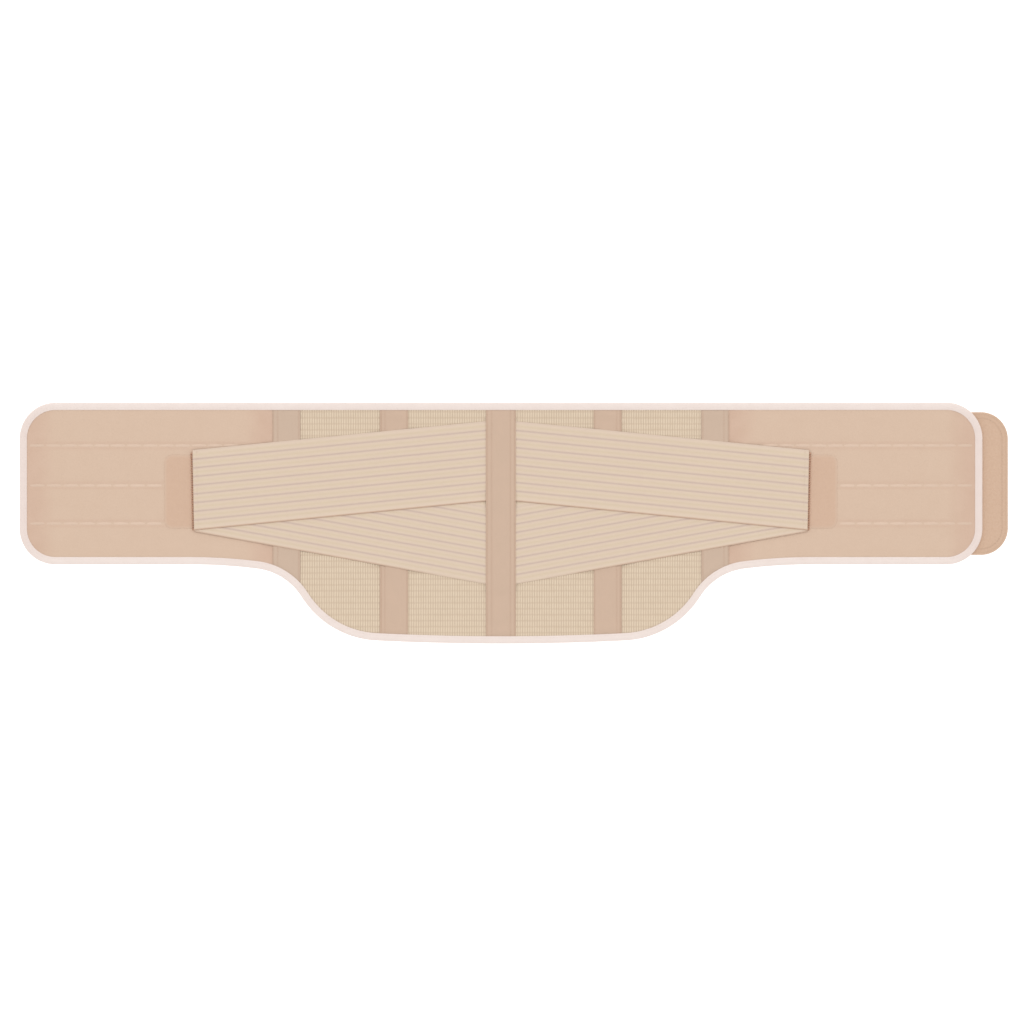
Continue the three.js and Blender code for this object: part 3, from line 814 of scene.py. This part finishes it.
def wing_top(x, y):
    """Height of the outer face of the wings."""
    drawn_in = bump_at(line_distance(y), *CHANNEL) * ease(*CHANNEL_FADE, outside_tab(x, y))
    loft = QUILT_VALLEY - MESH_THICK + pillow(x, y) - drawn_in
    top = panel_under(x, y) + MESH_THICK + wing_loft(x, y) * loft
    held_down = strap_under("lower", np.abs(x), y) - SEWN_GAP
    return np.where(under_strap(x, y), np.minimum(top, held_down), top)


def wing_rows(x):
    """Y of the points of a column: rows at fixed places, and rows that fan out to the two edges."""
    close = np.concatenate([line + LINE_ROWS for line in QUILT_LINES])
    even = np.arange(-FIXED_ROWS_END, FIXED_ROWS_END, FIXED_ROW_STEP)
    apart = line_distance(even) > LINE_ROWS[-1] + FIXED_ROW_MARGIN
    fixed = np.sort(np.concatenate([close, even[apart]]))
    shares = np.linspace(0, 1, FAN_ROWS + 1)[1:]
    low = fixed[0] + (lower_edge(x, EDGE_INSET) - fixed[0])[:, None] * shares[::-1]
    high = fixed[-1] + (upper_edge(x, EDGE_INSET) - fixed[-1])[:, None] * shares
    return np.concatenate([low, np.broadcast_to(fixed, (len(x), len(fixed))), high], axis=1)


def add_wing(side):
    sign = SIDES[side]
    start = SEAM_X + GAP / 2
    columns = np.sort(sign * np.linspace(start, WING_END, round((WING_END - start) / WING_STEP)))
    y = wing_rows(columns)
    x = np.broadcast_to(columns[:, None], y.shape)
    wing = add_sheet(f"wing_{side}_quilt", x, y, panel_under(x, y), wing_top(x, y), WING_CLOTH,
                     f"wing_{side}")
    # The tint: painted shade towards the wing's end, towards the seam tape and on both sides of each quilting
    # line, and round each tab a blend into the tab's colour
    painted_end_shade = 1 - ease(*END_PAINTED_SHADE_FADE, depth_in(x, np.zeros_like(x)))
    painted_seam_shade = 1 - ease(*SEAM_PAINTED_SHADE_FADE, np.abs(x))
    painted_line_shade = bump_at(line_distance(y) - LINE_PAINTED_SHADE_PLACE, *LINE_PAINTED_SHADE)
    near_tab = TAB_TINT * (1 - ease(*TAB_TINT_FADE, outside_tab(x, y)))
    set_values(wing, "tint", np.max([painted_end_shade, painted_seam_shade, painted_line_shade, near_tab], axis=0))


QUILT_STITCH = {"pitch": 15.8, "length": 16.4, "radius": 1.4, "flat": 0.25}
# How much duller and darker the quilting thread is on each line; it grows duller still towards the wing's end
QUILT_DULLING = (0.15, 0.0, 0.3)
QUILT_PAST_TAB = 2.0
QUILT_PAST_TAPE = 1.0
QUILT_BEFORE_BINDING = 2.0


def add_quilt_stitches(side):
    """Rows of stitches along the quilting lines, apart from what the strap and its tab hide."""
    end = HALF_LENGTH - BINDING_WIDTH - QUILT_BEFORE_BINDING
    rows, dullings = [], []
    for line, line_dulling in zip(QUILT_LINES, QUILT_DULLING):
        crosses_tab = TAB_LOW[1] < line < TAB_HIGH[1]
        past_tape = SEAM_X + TAPE_WIDTH / 2 + QUILT_PAST_TAPE
        start = TAB_HIGH[0] + QUILT_PAST_TAB if crosses_tab else past_tape
        path = np.array([(SIDES[side] * start, line), (SIDES[side] * end, line)])
        row = stitch_row(path, wing_top, **QUILT_STITCH)
        x, y = row.mean((1, 2))[:, :2].T
        row = row[~under_strap(x, y)]
        toward_end = np.clip((np.abs(row[..., 0]) - TAB_HIGH[0]) / (end - TAB_HIGH[0]), 0, 1)
        rows.append(row)
        dullings.append(np.maximum(line_dulling, toward_end ** 2))
    piece = add_stitches(f"wing_{side}_stitches", rows, QUILT_THREAD)
    set_values(piece, "tint", np.concatenate(dullings))


# Binding

PATH_STEP = 2.0
BINDING_STITCH_INSET = 5.5
BINDING_STITCH_LEVEL = 3.68
BINDING_STITCH = {"pitch": 3.4, "length": 2.5, "radius": 0.2}
BINDING_BULGE = 0.45
BULGE_FADE = (TAPE_WIDTH / 2 - 2, TAPE_WIDTH / 2 + 4)
BINDING_UNEVEN = (0.07, 9)
THREAD_PULL = (0.07, 1.4)
# Painted shade on the inner lip, where the binding meets the panel, and towards the belt's ends
LIP_PAINTED_SHADE = 0.25
BINDING_END_PAINTED_SHADE = 0.27

# Where the section's upper face begins, by height, and its lip, by distance in from the edge
UPPER_START = (1.6, 3.0)
LIP_START = (7.0, 7.5)

# The folded strip's section, once round from its lower lip: distance in from the edge, and height
BINDING_SECTION = (
    (6.6, 0.0), (4.5, 0.0), (2.4, 0.0), (1.2, 0.25), (0.45, 0.8), (0.08, 1.5), (0.0, 2.1), (0.12, 2.75),
    (0.6, 3.38), (1.4, 3.78), (2.4, 3.95), (3.4, 3.98), (4.3, 3.92), (4.9, 3.82), (5.5, 3.7), (6.1, 3.62),
    (6.7, 3.5), (7.2, 3.34), (7.5, 3.12), (7.4, 2.92), (5.0, 2.9), (2.4, 2.9), (1.0, 2.7), (1.0, 1.2),
    (2.4, 0.9), (5.0, 0.9), (7.4, 0.88), (7.5, 0.6), (7.2, 0.2),
)


def half_outline():
    """Points of the right half of the outline from the hem up, and the directions in from them."""
    # The last of these is only the middle of the top edge
    wing_arcs = ((CORNER_X, -CORNER_Y, CORNER_RADIUS, 1, math.pi / 2),
                 (CORNER_X, CORNER_Y, CORNER_RADIUS, 1, math.pi),
                 (0, 0, WING_HALF_HEIGHT, 1, math.pi))
    places, inward = [], []
    start = 0
    for x, y, radius, side, end in LOWER_ARCS + wing_arcs:
        steps = math.ceil(radius * abs(end - start) / PATH_STEP)
        angles = np.linspace(start, end, steps + 1) - side * math.pi / 2
        start = end
        ways = np.stack([np.cos(angles), np.sin(angles)], 1)
        arc = np.array([x, y]) + radius * ways
        if places:
            run = arc[0] - places[-1][-1]
            count = int(np.hypot(*run) / PATH_STEP)
            shares = (np.arange(count) + 1)[:, None] / (count + 1)
            places.append(places[-1][-1] + run * shares)
            inward.append(np.repeat(-side * ways[:1], count, 0))
        places.append(arc)
        inward.append(-side * ways)
    places, inward = np.concatenate(places), np.concatenate(inward)
    fresh = np.concatenate([[True], np.hypot(*np.diff(places, axis=0).T) > PATH_STEP / 10])
    return places[fresh], inward[fresh]


def whole_outline():
    places, inward = half_outline()
    mirror = np.array([-1, 1])
    return (np.concatenate([places, (places * mirror)[-2:0:-1]]),
            np.concatenate([inward, (inward * mirror)[-2:0:-1]]))


def over_tape(x):
    """1 where the edge of the belt runs over a tape."""
    nearest = np.min([np.abs(np.abs(x) - middle) for middle in (0, STAY_X, SEAM_X)], axis=0)
    return 1 - ease(*BULGE_FADE, nearest)


def binding_top(x, y):
    """Height of the binding's outer face along its stitching."""
    return BINDING_STITCH_LEVEL + lift_at(x) + BINDING_BULGE * over_tape(x)


def add_binding_stitches(places, inward):
    path = places + BINDING_STITCH_INSET * inward
    path = np.concatenate([path, path[:1]])
    row = stitch_row(path, binding_top, **BINDING_STITCH)
    return add_stitches("edge_binding_stitches", [row], BINDING_THREAD)


def add_binding():
    places, inward = whole_outline()
    section = np.array(BINDING_SECTION)
    steps = np.hypot(*(np.roll(places, -1, 0) - places).T)
    walked = np.concatenate([[0], np.cumsum(steps)[:-1]])
    inset, height = section[:, 0][None, :], section[:, 1][None, :]
    x = places[:, :1] + inset * inward[:, :1]
    y = places[:, 1:] + inset * inward[:, 1:]
    upper = ease(*UPPER_START, height)
    pull = bump_at(inset - BINDING_STITCH_INSET, *THREAD_PULL) * upper
    drawn_in = np.sin(2 * math.pi * walked / BINDING_STITCH["pitch"])[:, None]
    z = height + lift_at(x) + upper * BINDING_BULGE * over_tape(x)
    z = z + upper * (soft_noise(x, y, *BINDING_UNEVEN, "binding") + pull * drawn_in)
    count, ring = x.shape
    points = np.stack([x, y, z], -1).reshape(-1, 3)
    index = np.arange(count * ring).reshape(count, ring)
    onward = np.roll(index, -1, 0)
    faces = np.stack([index, np.roll(index, -1, 1), np.roll(onward, -1, 1), onward], -1).reshape(-1, 4)
    binding = add_piece("edge_binding_strip", points, faces.tolist(), BINDING_CLOTH,
                        "edge_binding")
    # The tint is painted shade on the inner lip and towards the ends
    lip = ease(*LIP_START, inset) * upper
    painted_end_shade = ease(CORNER_X, HALF_LENGTH, np.abs(x))
    set_values(binding, "tint", np.maximum(LIP_PAINTED_SHADE * lip, BINDING_END_PAINTED_SHADE * painted_end_shade))
    girth = np.concatenate([[0], np.cumsum(np.hypot(*np.diff(section, axis=0).T))])
    set_grain(binding, np.broadcast_to(walked[:, None], x.shape), np.broadcast_to(girth[None, :], x.shape),
              steps.sum())
    add_binding_stitches(places, inward)


# Tapes

TAPE_END_INSET = 6.4
TAPE_TUCK = 0.18
TUCK_FADE = (TAPE_END_INSET + 0.8, TAPE_END_INSET + 7)
LINE_DENT = (0.14, 0.8)
# Painted shade in the dents along the lines of stitching, as a strength and a width, and along the tape's
# edges, with the distances over which it fades
TAPE_LINE_PAINTED_SHADE = (0.26, 0.8)
TAPE_EDGE_PAINTED_SHADE = 0.12
TAPE_EDGE_FADE = (0.2, 1.2)
TAPE_EDGE_COLUMNS = np.array([0, 0.12, 0.3, 0.6])
TAPE_STEP = 0.5
TAPE_ROWS = 130
SECTION_EASE = 0.5
TAPE_STITCH = {"pitch": 2.8, "length": 1.9, "radius": 0.2}

# Thickness by distance in from the tape's edge, over a stay and over a seam
STAY_SECTION = ((0, 0.45, 1.2, 5.0, 6.5, 8.5, 11.0), (0.3, 0.8, 0.95, 0.95, 1.2, 1.45, STAY_TAPE_CROWN))
SEAM_SECTION = ((0, 0.45, 1.2, 5.0, 7.0, 9.0), (0.3, 0.8, 1.0, 1.0, 1.15, SEAM_TAPE_CROWN))

# Lines of stitching: distance in from the tape's left edge, or on the right half of the belt from its right
# edge, and how strongly each is drawn in
SPINE_LINES = ((1.3, 1.0), (5.8, 0.4), (SPINE_WIDTH - 5.4, 0.5), (SPINE_WIDTH - 1.3, 1.0))
STAY_LINES = ((1.4, 1.2), (5.0, 0.4), (TAPE_WIDTH - 1.0, 0.6))
SEAM_LINES = ((0.9, 0.9), (5.3, 0.45), (TAPE_WIDTH - 1.6, 0.6))

# Height of the strap ends under the spine tape, by Y
SPINE_CROSSING = ON_STRAP + 0.7 * STRAP_RISE
SPINE_BEDS = ((-126, -104, -34, -22, -14, -4, 64, 78),
              (0, ON_STRAP, ON_STRAP, SPINE_CROSSING, SPINE_CROSSING, ON_STRAP, ON_STRAP, 0))
SPINE_EASE = 5

Tape = namedtuple("Tape", "sign middle width section cloth lines")
TAPES = {"spine_tape": Tape(-1, 0, SPINE_WIDTH, STAY_SECTION, STAY_CLOTH, SPINE_LINES)}
for side, sign in SIDES.items():
    TAPES[f"stay_tape_{side}"] = Tape(sign, sign * STAY_X, TAPE_WIDTH, STAY_SECTION, STAY_CLOTH, STAY_LINES)
    TAPES[f"seam_tape_{side}"] = Tape(sign, sign * SEAM_X, TAPE_WIDTH, SEAM_SECTION, SEAM_CLOTH, SEAM_LINES)


def from_first_edge(tape, x):
    """Distance from the edge of a tape that its lines of stitching are counted from."""
    return tape.width / 2 - tape.sign * (x - tape.middle)


def tape_faces(name, x, y):
    """Heights of both faces of a tape."""
    tape = TAPES[name]
    across = from_first_edge(tape, x)
    thick = eased_table(np.minimum(across, tape.width - across), *tape.section, SECTION_EASE)
    for line, strength in tape.lines:
        thick = thick - strength * bump_at(across - line, *LINE_DENT)
    tucked = ease(*TUCK_FADE, depth_in(x, y))
    under = panel_under(x, y) + ON_MESH
    if name == "spine_tape":
        under = np.maximum(under, eased_table(y, *SPINE_BEDS, SPINE_EASE))
    return under, under + TAPE_TUCK + (thick - TAPE_TUCK) * tucked


def add_tape_stitches(name):
    tape = TAPES[name]
    rows = []
    for line, _ in tape.lines:
        place = tape.middle + tape.sign * (tape.width / 2 - line)
        path = np.array([(place, edge(place, BINDING_WIDTH)) for edge in (lower_edge, upper_edge)])
        rows.append(stitch_row(path, lambda x, y: tape_faces(name, x, y)[1], **TAPE_STITCH))
    return add_stitches(f"{name}_stitches", rows, TAPE_THREAD)


def add_tape(name):
    tape = TAPES[name]
    width = tape.width
    inner = np.arange(1, width - 1 + TAPE_STEP / 2, TAPE_STEP)
    across = np.concatenate([TAPE_EDGE_COLUMNS, inner, width - TAPE_EDGE_COLUMNS[::-1]])
    x, y, height = strip_grid(tape.middle - width / 2 + across, TAPE_ROWS, TAPE_END_INSET)
    under, over = tape_faces(name, x, y)
    piece = add_sheet(f"{name}_cloth", x, y, under, over, tape.cloth, name)
    across = from_first_edge(tape, x)
    # The tint paints shade into the stitching dents and along the edges
    lines = sum(strength * bump_at(across - line, *TAPE_LINE_PAINTED_SHADE) for line, strength in tape.lines)
    edges = TAPE_EDGE_PAINTED_SHADE * (1 - ease(*TAPE_EDGE_FADE, np.minimum(across, width - across)))
    set_values(piece, "tint", np.clip(lines + edges, 0, 1))
    set_grain(piece, y, x)
    rests_on = ["back_panel_mesh"]
    if name == "spine_tape":
        rests_on += [f"strap_{level}_{side}_elastic" for level in STRAPS for side in SIDES]
    if name.startswith("seam"):
        rests_on.append(name.replace("seam_tape", "wing") + "_quilt")
    add_tape_stitches(name)


# Straps

STRAP_COLUMNS = 84
STRAP_ROWS = 60
LEAST_ROW = 0.04
END_COLUMN_IN = 1.5
GROOVE = (0.22, 0.8)
# Painted shade in the strap's grooves, as a strength and a width
GROOVE_PAINTED_SHADE = (0.78, 1.05)
FINE_GROOVE = (0.06, 0.6)
MIDDLE_TINT = (0.5, 1.5)
STRAP_UNEVEN = (0.06, 24)
EDGE_ROUND = 0.9
TOP_TAPER = 7.0
# Share of that painted shade left in the groove along the top edge
TOP_GROOVE_SHADE = 0.35
SPINE_TAPER = 3.0
# A brown painted shadow along each strap's lower edge and its outer end, fading over these distances from
# them
EDGE_SHADOW_FADE = (0.4, 2.2)
STRAP_END_SHADOW_FADE = (0.1, 0.9)
END_SLANT = 1.6
END_SLANT_WIDTH = 60
EDGE_ROWS = EDGE_ROUND * np.array([0, 0.09, 0.28, 0.57, 1.0])
GROOVE_ROWS = np.array([-1.3, -0.8, -0.45, -0.2, 0, 0.2, 0.45, 0.8, 1.3])
FINE_ROWS = np.array([-0.45, -0.2, 0, 0.2, 0.45])

# A lower strap's bottom edge gets steeper, and its painted shadow stronger, between these distances from the
# spine
OUTWARD = (STAY_X - 60, STAY_X + 10)
LOWER_EDGE_SHADOW = 0.15
LOWER_EDGE_SHADOW_GAIN = 0.6


def rib_share(level):
    """Height of one rib of a strap, as a share of the strap's height."""
    strap = STRAPS[level]
    return (1 - strap["margin"] - strap["foot"]) / RIBS


def strap_rows(level):
    """Shares of the strap's height with close rows at its edges and grooves."""
    low, high = strap_edges(level, STRAP_SHOWS_X)
    height = high - low
    foot, rib = STRAPS[level]["foot"], rib_share(level)
    grooves = (foot + np.arange(RIBS + 1)[:, None] * rib + GROOVE_ROWS / height).ravel()
    fine = (foot + (np.arange(RIBS)[:, None] + 0.5) * rib + FINE_ROWS / height).ravel()
    edges = EDGE_ROWS / height
    rows = np.concatenate([grooves, fine, edges, 1 - edges, np.linspace(0, 1, STRAP_ROWS)])
    rows = np.unique(np.round(rows[(rows >= 0) & (rows <= 1)], 5))
    apart = np.concatenate([[True], np.diff(rows) > LEAST_ROW / height])
    return rows[apart]


def end_slant(away, share):
    """How far the end of a strap leans out: its upper corner further than its lower one."""
    return END_SLANT * (share - 0.5) * ease(STRAP_OUTER_X - END_SLANT_WIDTH, STRAP_OUTER_X, away)


def add_strap(level, side):
    along = np.concatenate([np.linspace(STRAP_INNER_X, STRAP_OUTER_X - END_COLUMN_IN, STRAP_COLUMNS),
                            (STRAP_OUTER_X - EDGE_ROWS)[::-1]])
    along, share = np.meshgrid(along[::SIDES[side]], strap_rows(level), indexing="ij")
    away = along + end_slant(along, share)
    x = SIDES[side] * away
    low, high = strap_edges(level, away)
    y = low * (1 - share) + high * share
    height = high - low
    rib = rib_share(level)
    place = (share - STRAPS[level]["foot"]) / rib
    from_groove = np.abs(place - np.round(place)) * rib * height
    grooved = (place > 0.5) & (place < RIBS + 0.5)
    from_middle = np.abs(place - np.floor(place) - 0.5) * rib * height
    out = ease(*OUTWARD, away)
    low_round = EDGE_ROUND if level == "upper" else SPINE_TAPER + (EDGE_ROUND - SPINE_TAPER) * out
    full = np.minimum(rounded(share * height, low_round), rounded((1 - share) * height, TOP_TAPER))
    full = np.minimum(full, rounded(STRAP_OUTER_X - along, EDGE_ROUND))
    dents = bump_at(from_groove, *GROOVE) * grooved + bump_at(from_middle, *FINE_GROOVE)
    thick = full * (STRAP_THICK - dents + soft_noise(x, y, *STRAP_UNEVEN, f"{level} strap"))
    under = strap_under(level, away, y)
    piece = add_sheet(f"strap_{level}_{side}_elastic", x, y, under, under + thick, ELASTIC_CLOTH,
                      f"strap_{level}_{side}")
    # Painted shade in the grooves, weaker in the one along the top edge
    groove_shade_share = np.where(place > RIBS - 0.5, TOP_GROOVE_SHADE, 1) * grooved
    set_values(piece, "tint", bump_at(from_groove, *GROOVE_PAINTED_SHADE) * groove_shade_share)
    set_values(piece, "middle", bump_at(from_middle, *MIDDLE_TINT))
    # Painted shadow along the lower edge and the outer end
    painted_edge_shadow = 1 - ease(*EDGE_SHADOW_FADE, share * height)
    if level == "lower":
        painted_edge_shadow = painted_edge_shadow * (LOWER_EDGE_SHADOW + LOWER_EDGE_SHADOW_GAIN * out)
    end = 1 - ease(*STRAP_END_SHADOW_FADE, STRAP_OUTER_X - along)
    set_values(piece, "edge", np.maximum(painted_edge_shadow, end))
    set_grain(piece, away, share * height)
    sewn = []
    if level == "upper":
        sewn = add_end_stitches(side)


# Stitches near the upper straps' ends, and a dark row just past each end that paints its shadow on the tab:
# distance from the spine, margins at the lower and upper edge, height
END_STITCH_X = STRAP_OUTER_X - 4.5
END_STITCH_MARGINS = (1.2, 1.2)
END_STITCH_SINK = 0.05
END_STITCH = {"pitch": 3.2, "length": 2.3, "radius": 0.22}
# A close row of dark stitches just past the end, which paints the end's shadow on the tab
END_SHADOW_ROW_X = STRAP_OUTER_X + 0.75
END_SHADOW_ROW_MARGINS = (0.3, 2.5)
END_SHADOW_ROW_LEVEL = ON_STRAP_TAB + 0.3
END_SHADOW_ROW = {"pitch": 2.3, "length": 2.3, "radius": 1.1}


def end_path(side, away, low_margin, high_margin):
    """A straight path up the end of an upper strap."""
    low, high = strap_edges("upper", away)
    ends = ((0, low + low_margin), (1, high - high_margin))
    return np.array([(SIDES[side] * (away + end_slant(away, share)), y) for share, y in ends])


def end_top(x, y):
    """Height that the stitches near an upper strap's end lie at."""
    return strap_under("upper", np.abs(x), y) + STRAP_THICK - END_STITCH_SINK


def add_end_stitches(side):
    """A row near an upper strap's end, where it is sewn to its tab, and a close row of dark stitches just
    past the end, which paints the end's shadow on the tab.
    """
    row = stitch_row(end_path(side, END_STITCH_X, *END_STITCH_MARGINS), end_top, **END_STITCH)
    shadow_row_path = end_path(side, END_SHADOW_ROW_X, *END_SHADOW_ROW_MARGINS)
    shadow_row = stitch_row(shadow_row_path, flat_at(END_SHADOW_ROW_LEVEL), **END_SHADOW_ROW)
    return [add_stitches(f"strap_end_{side}_stitches", [row], STRAP_THREAD),
            add_stitches(f"strap_end_{side}_painted_shadow_stitches", [shadow_row], END_SHADOW_THREAD)]


# Hook tabs

TAB_STEP = 2.0
TAB_FADE = 0.65
TAB_UNEVEN = (0.04, 15)
TAB_EDGE_ROWS = np.array([0, 0.06, 0.2, 0.45, 0.75, 1.1])
CORNER_COLUMNS = 24
STRAP_TAB_EDGE = {"thin": 0.15, "soft": 4.5, "fade": 3.0}
CLOSURE_EDGE = {"thin": 0.3, "soft": 0.8, "fade": 0.01}
BORDER_ROWS = np.array([-1.0, -0.5, 0, 0.5, 1.0])
BORDER_WIDTH = 0.8


def add_tab(name, low, high, corner, sign, bed, thick, cloth, rests_on, thin, soft, fade, border=(),
            sewn=()):
    """A flat tab with a square inner end and two round corners at its outer end.

    Its edges are thin, a share of the whole thickness, and it swells to that over a soft width. Its colour
    fades out towards the edges over another width, and is darker along the lines of its border, which are
    given by their distance in and their strength.
    """
    edge = np.concatenate([soft * TAB_EDGE_ROWS, *[inset + BORDER_ROWS for inset, _ in border]])
    straight = np.arange(low[0], high[0] - corner - TAB_STEP / 2, TAB_STEP)
    bends = high[0] - corner * (1 - np.sin(np.linspace(0, math.pi / 2, CORNER_COLUMNS)))
    away = np.unique(np.round(np.concatenate([straight, bends, high[0] - edge]), 3))
    half = (high[1] - low[1]) / 2
    middle = (high[1] + low[1]) / 2
    inner = np.arange(2 * soft - half, half - 2 * soft, TAB_STEP) / half
    share = np.sort(np.concatenate([-1 + edge / half, inner, 1 - edge / half]))
    x, share = np.meshgrid(np.sort(sign * away), share, indexing="ij")
    past = np.maximum(np.abs(x) - high[0] + corner, 0)
    y = middle + share * (half - corner + rim(corner, past))
    beyond = np.maximum(np.abs(y - middle) - half + corner, 0)
    distance = np.where((past > 0) | (beyond > 0), corner - np.hypot(past, beyond), corner)
    under = bed(x, y)
    swell = thin + (1 - thin) * rounded(distance, soft)
    over = under + thick * swell + soft_noise(x, y, *TAB_UNEVEN, name) * swell
    piece = add_sheet(f"{name}_hooks", x, y, under, over, cloth, name)
    set_values(piece, "edge", TAB_FADE * (1 - ease(0, fade, distance)))
    lines = [bump_at(distance - inset, strength, BORDER_WIDTH) for inset, strength in border]
    set_values(piece, "tint", sum(lines))


def on_wing(x, y):
    """Height of a strap tab's underside."""
    return wing_top(x, y) + SEWN_GAP


CLOSURE_BORDER = ((2.4, 0.35), (6.1, 0.35))
CLOSURE_STITCH = {"pitch": 3.0, "length": 2.2, "radius": 0.25}
CLOSURE_STITCH_START = HALF_LENGTH - 2
BEND_POINTS = 40


def add_closure_stitches():
    """A row of stitches round the outer end of the closure tab, along the inner line of its border."""
    inset = CLOSURE_BORDER[-1][0]
    turn = np.linspace(0, math.pi / 2, BEND_POINTS)
    middle_x = CLOSURE_HIGH[0] - CLOSURE_CORNER
    middle_y = CLOSURE_HIGH[1] - CLOSURE_CORNER
    radius = CLOSURE_CORNER - inset
    bend = np.stack([middle_x + radius * np.cos(turn), middle_y + radius * np.sin(turn)], 1)
    upper = np.concatenate([bend, [[CLOSURE_STITCH_START, CLOSURE_HIGH[1] - inset]]])
    lower = upper[::-1] * (1, -1) + (0, CLOSURE_HIGH[1] + CLOSURE_LOW[1])
    row = stitch_row(np.concatenate([lower, upper]), flat_at(CLOSURE_HIGH[2]), **CLOSURE_STITCH)
    return add_stitches("closure_tab_stitches", [row], TAPE_THREAD)


# Assembly

add_back_panel()
add_binding()
for tape_name in TAPES:
    add_tape(tape_name)
for side, sign in SIDES.items():
    add_wing(side)
    add_quilt_stitches(side)
    for level in STRAPS:
        add_strap(level, side)
    add_tab(f"strap_tab_{side}", TAB_LOW, TAB_HIGH, STRAP_TAB_CORNER, sign, on_wing, STRAP_TAB_THICK,
            STRAP_TAB_CLOTH, [f"wing_{side}_quilt"], **STRAP_TAB_EDGE)
add_tab("closure_tab", CLOSURE_LOW, CLOSURE_HIGH, CLOSURE_CORNER, 1, flat_at(CLOSURE_LOW[2]), CLOSURE_HIGH[2],
        CLOSURE_CLOTH, [], **CLOSURE_EDGE, border=CLOSURE_BORDER, sewn=[add_closure_stitches()])


# Floor, light and camera

FLOOR_SIZE = 8.0
WHITE = (1, 1, 1, 1)
FLOOR_INPUTS = {"Base Color": (0.6, 0.6, 0.6, 1), "Roughness": 0.9, "Specular IOR Level": 0.1,
                "Emission Color": WHITE, "Emission Strength": 0.75}
KEY_HEIGHT = math.radians(60)
KEY_SOFTNESS = math.radians(24)
KEY_LEVEL = 0.14
SKY_LEVEL = 1.0
LENS = 100.0
SENSOR = 36.0
FRAME_WIDTH = 1.02
VIEW_MIDDLE = (0.0092, -0.0265)
VIEW_LEVEL = 0.004


def add_floor():
    half = FLOOR_SIZE / 2
    corners = [(-half, -half, 0), (half, -half, 0), (half, half, 0), (-half, half, 0)]
    mesh = bpy.data.meshes.new("floor")
    mesh.from_pydata(corners, [], [(0, 1, 2, 3)])
    material = bpy.data.materials.new("floor")
    material.use_nodes = True
    set_inputs(material.node_tree.nodes["Principled BSDF"], FLOOR_INPUTS)
    mesh.materials.append(material)
    floor = add_object("floor", mesh)


def add_light():
    world = bpy.data.worlds.new("studio")
    world.use_nodes = True
    set_inputs(world.node_tree.nodes["Background"], {"Color": WHITE, "Strength": SKY_LEVEL})
    bpy.context.scene.world = world
    lamp = bpy.data.lights.new("key", "SUN")
    lamp.energy = KEY_LEVEL * math.pi / math.sin(KEY_HEIGHT)
    lamp.angle = KEY_SOFTNESS
    add_object("key", lamp).rotation_euler = (KEY_HEIGHT - math.pi / 2, 0, 0)


def add_camera():
    data = bpy.data.cameras.new("camera")
    data.lens = LENS
    data.sensor_width = SENSOR
    camera = add_object("camera", data)
    camera.location = (*VIEW_MIDDLE, VIEW_LEVEL + FRAME_WIDTH * LENS / SENSOR)
    bpy.context.scene.camera = camera
    bpy.context.scene.view_settings.view_transform = "Standard"


add_floor()
add_light()
add_camera()
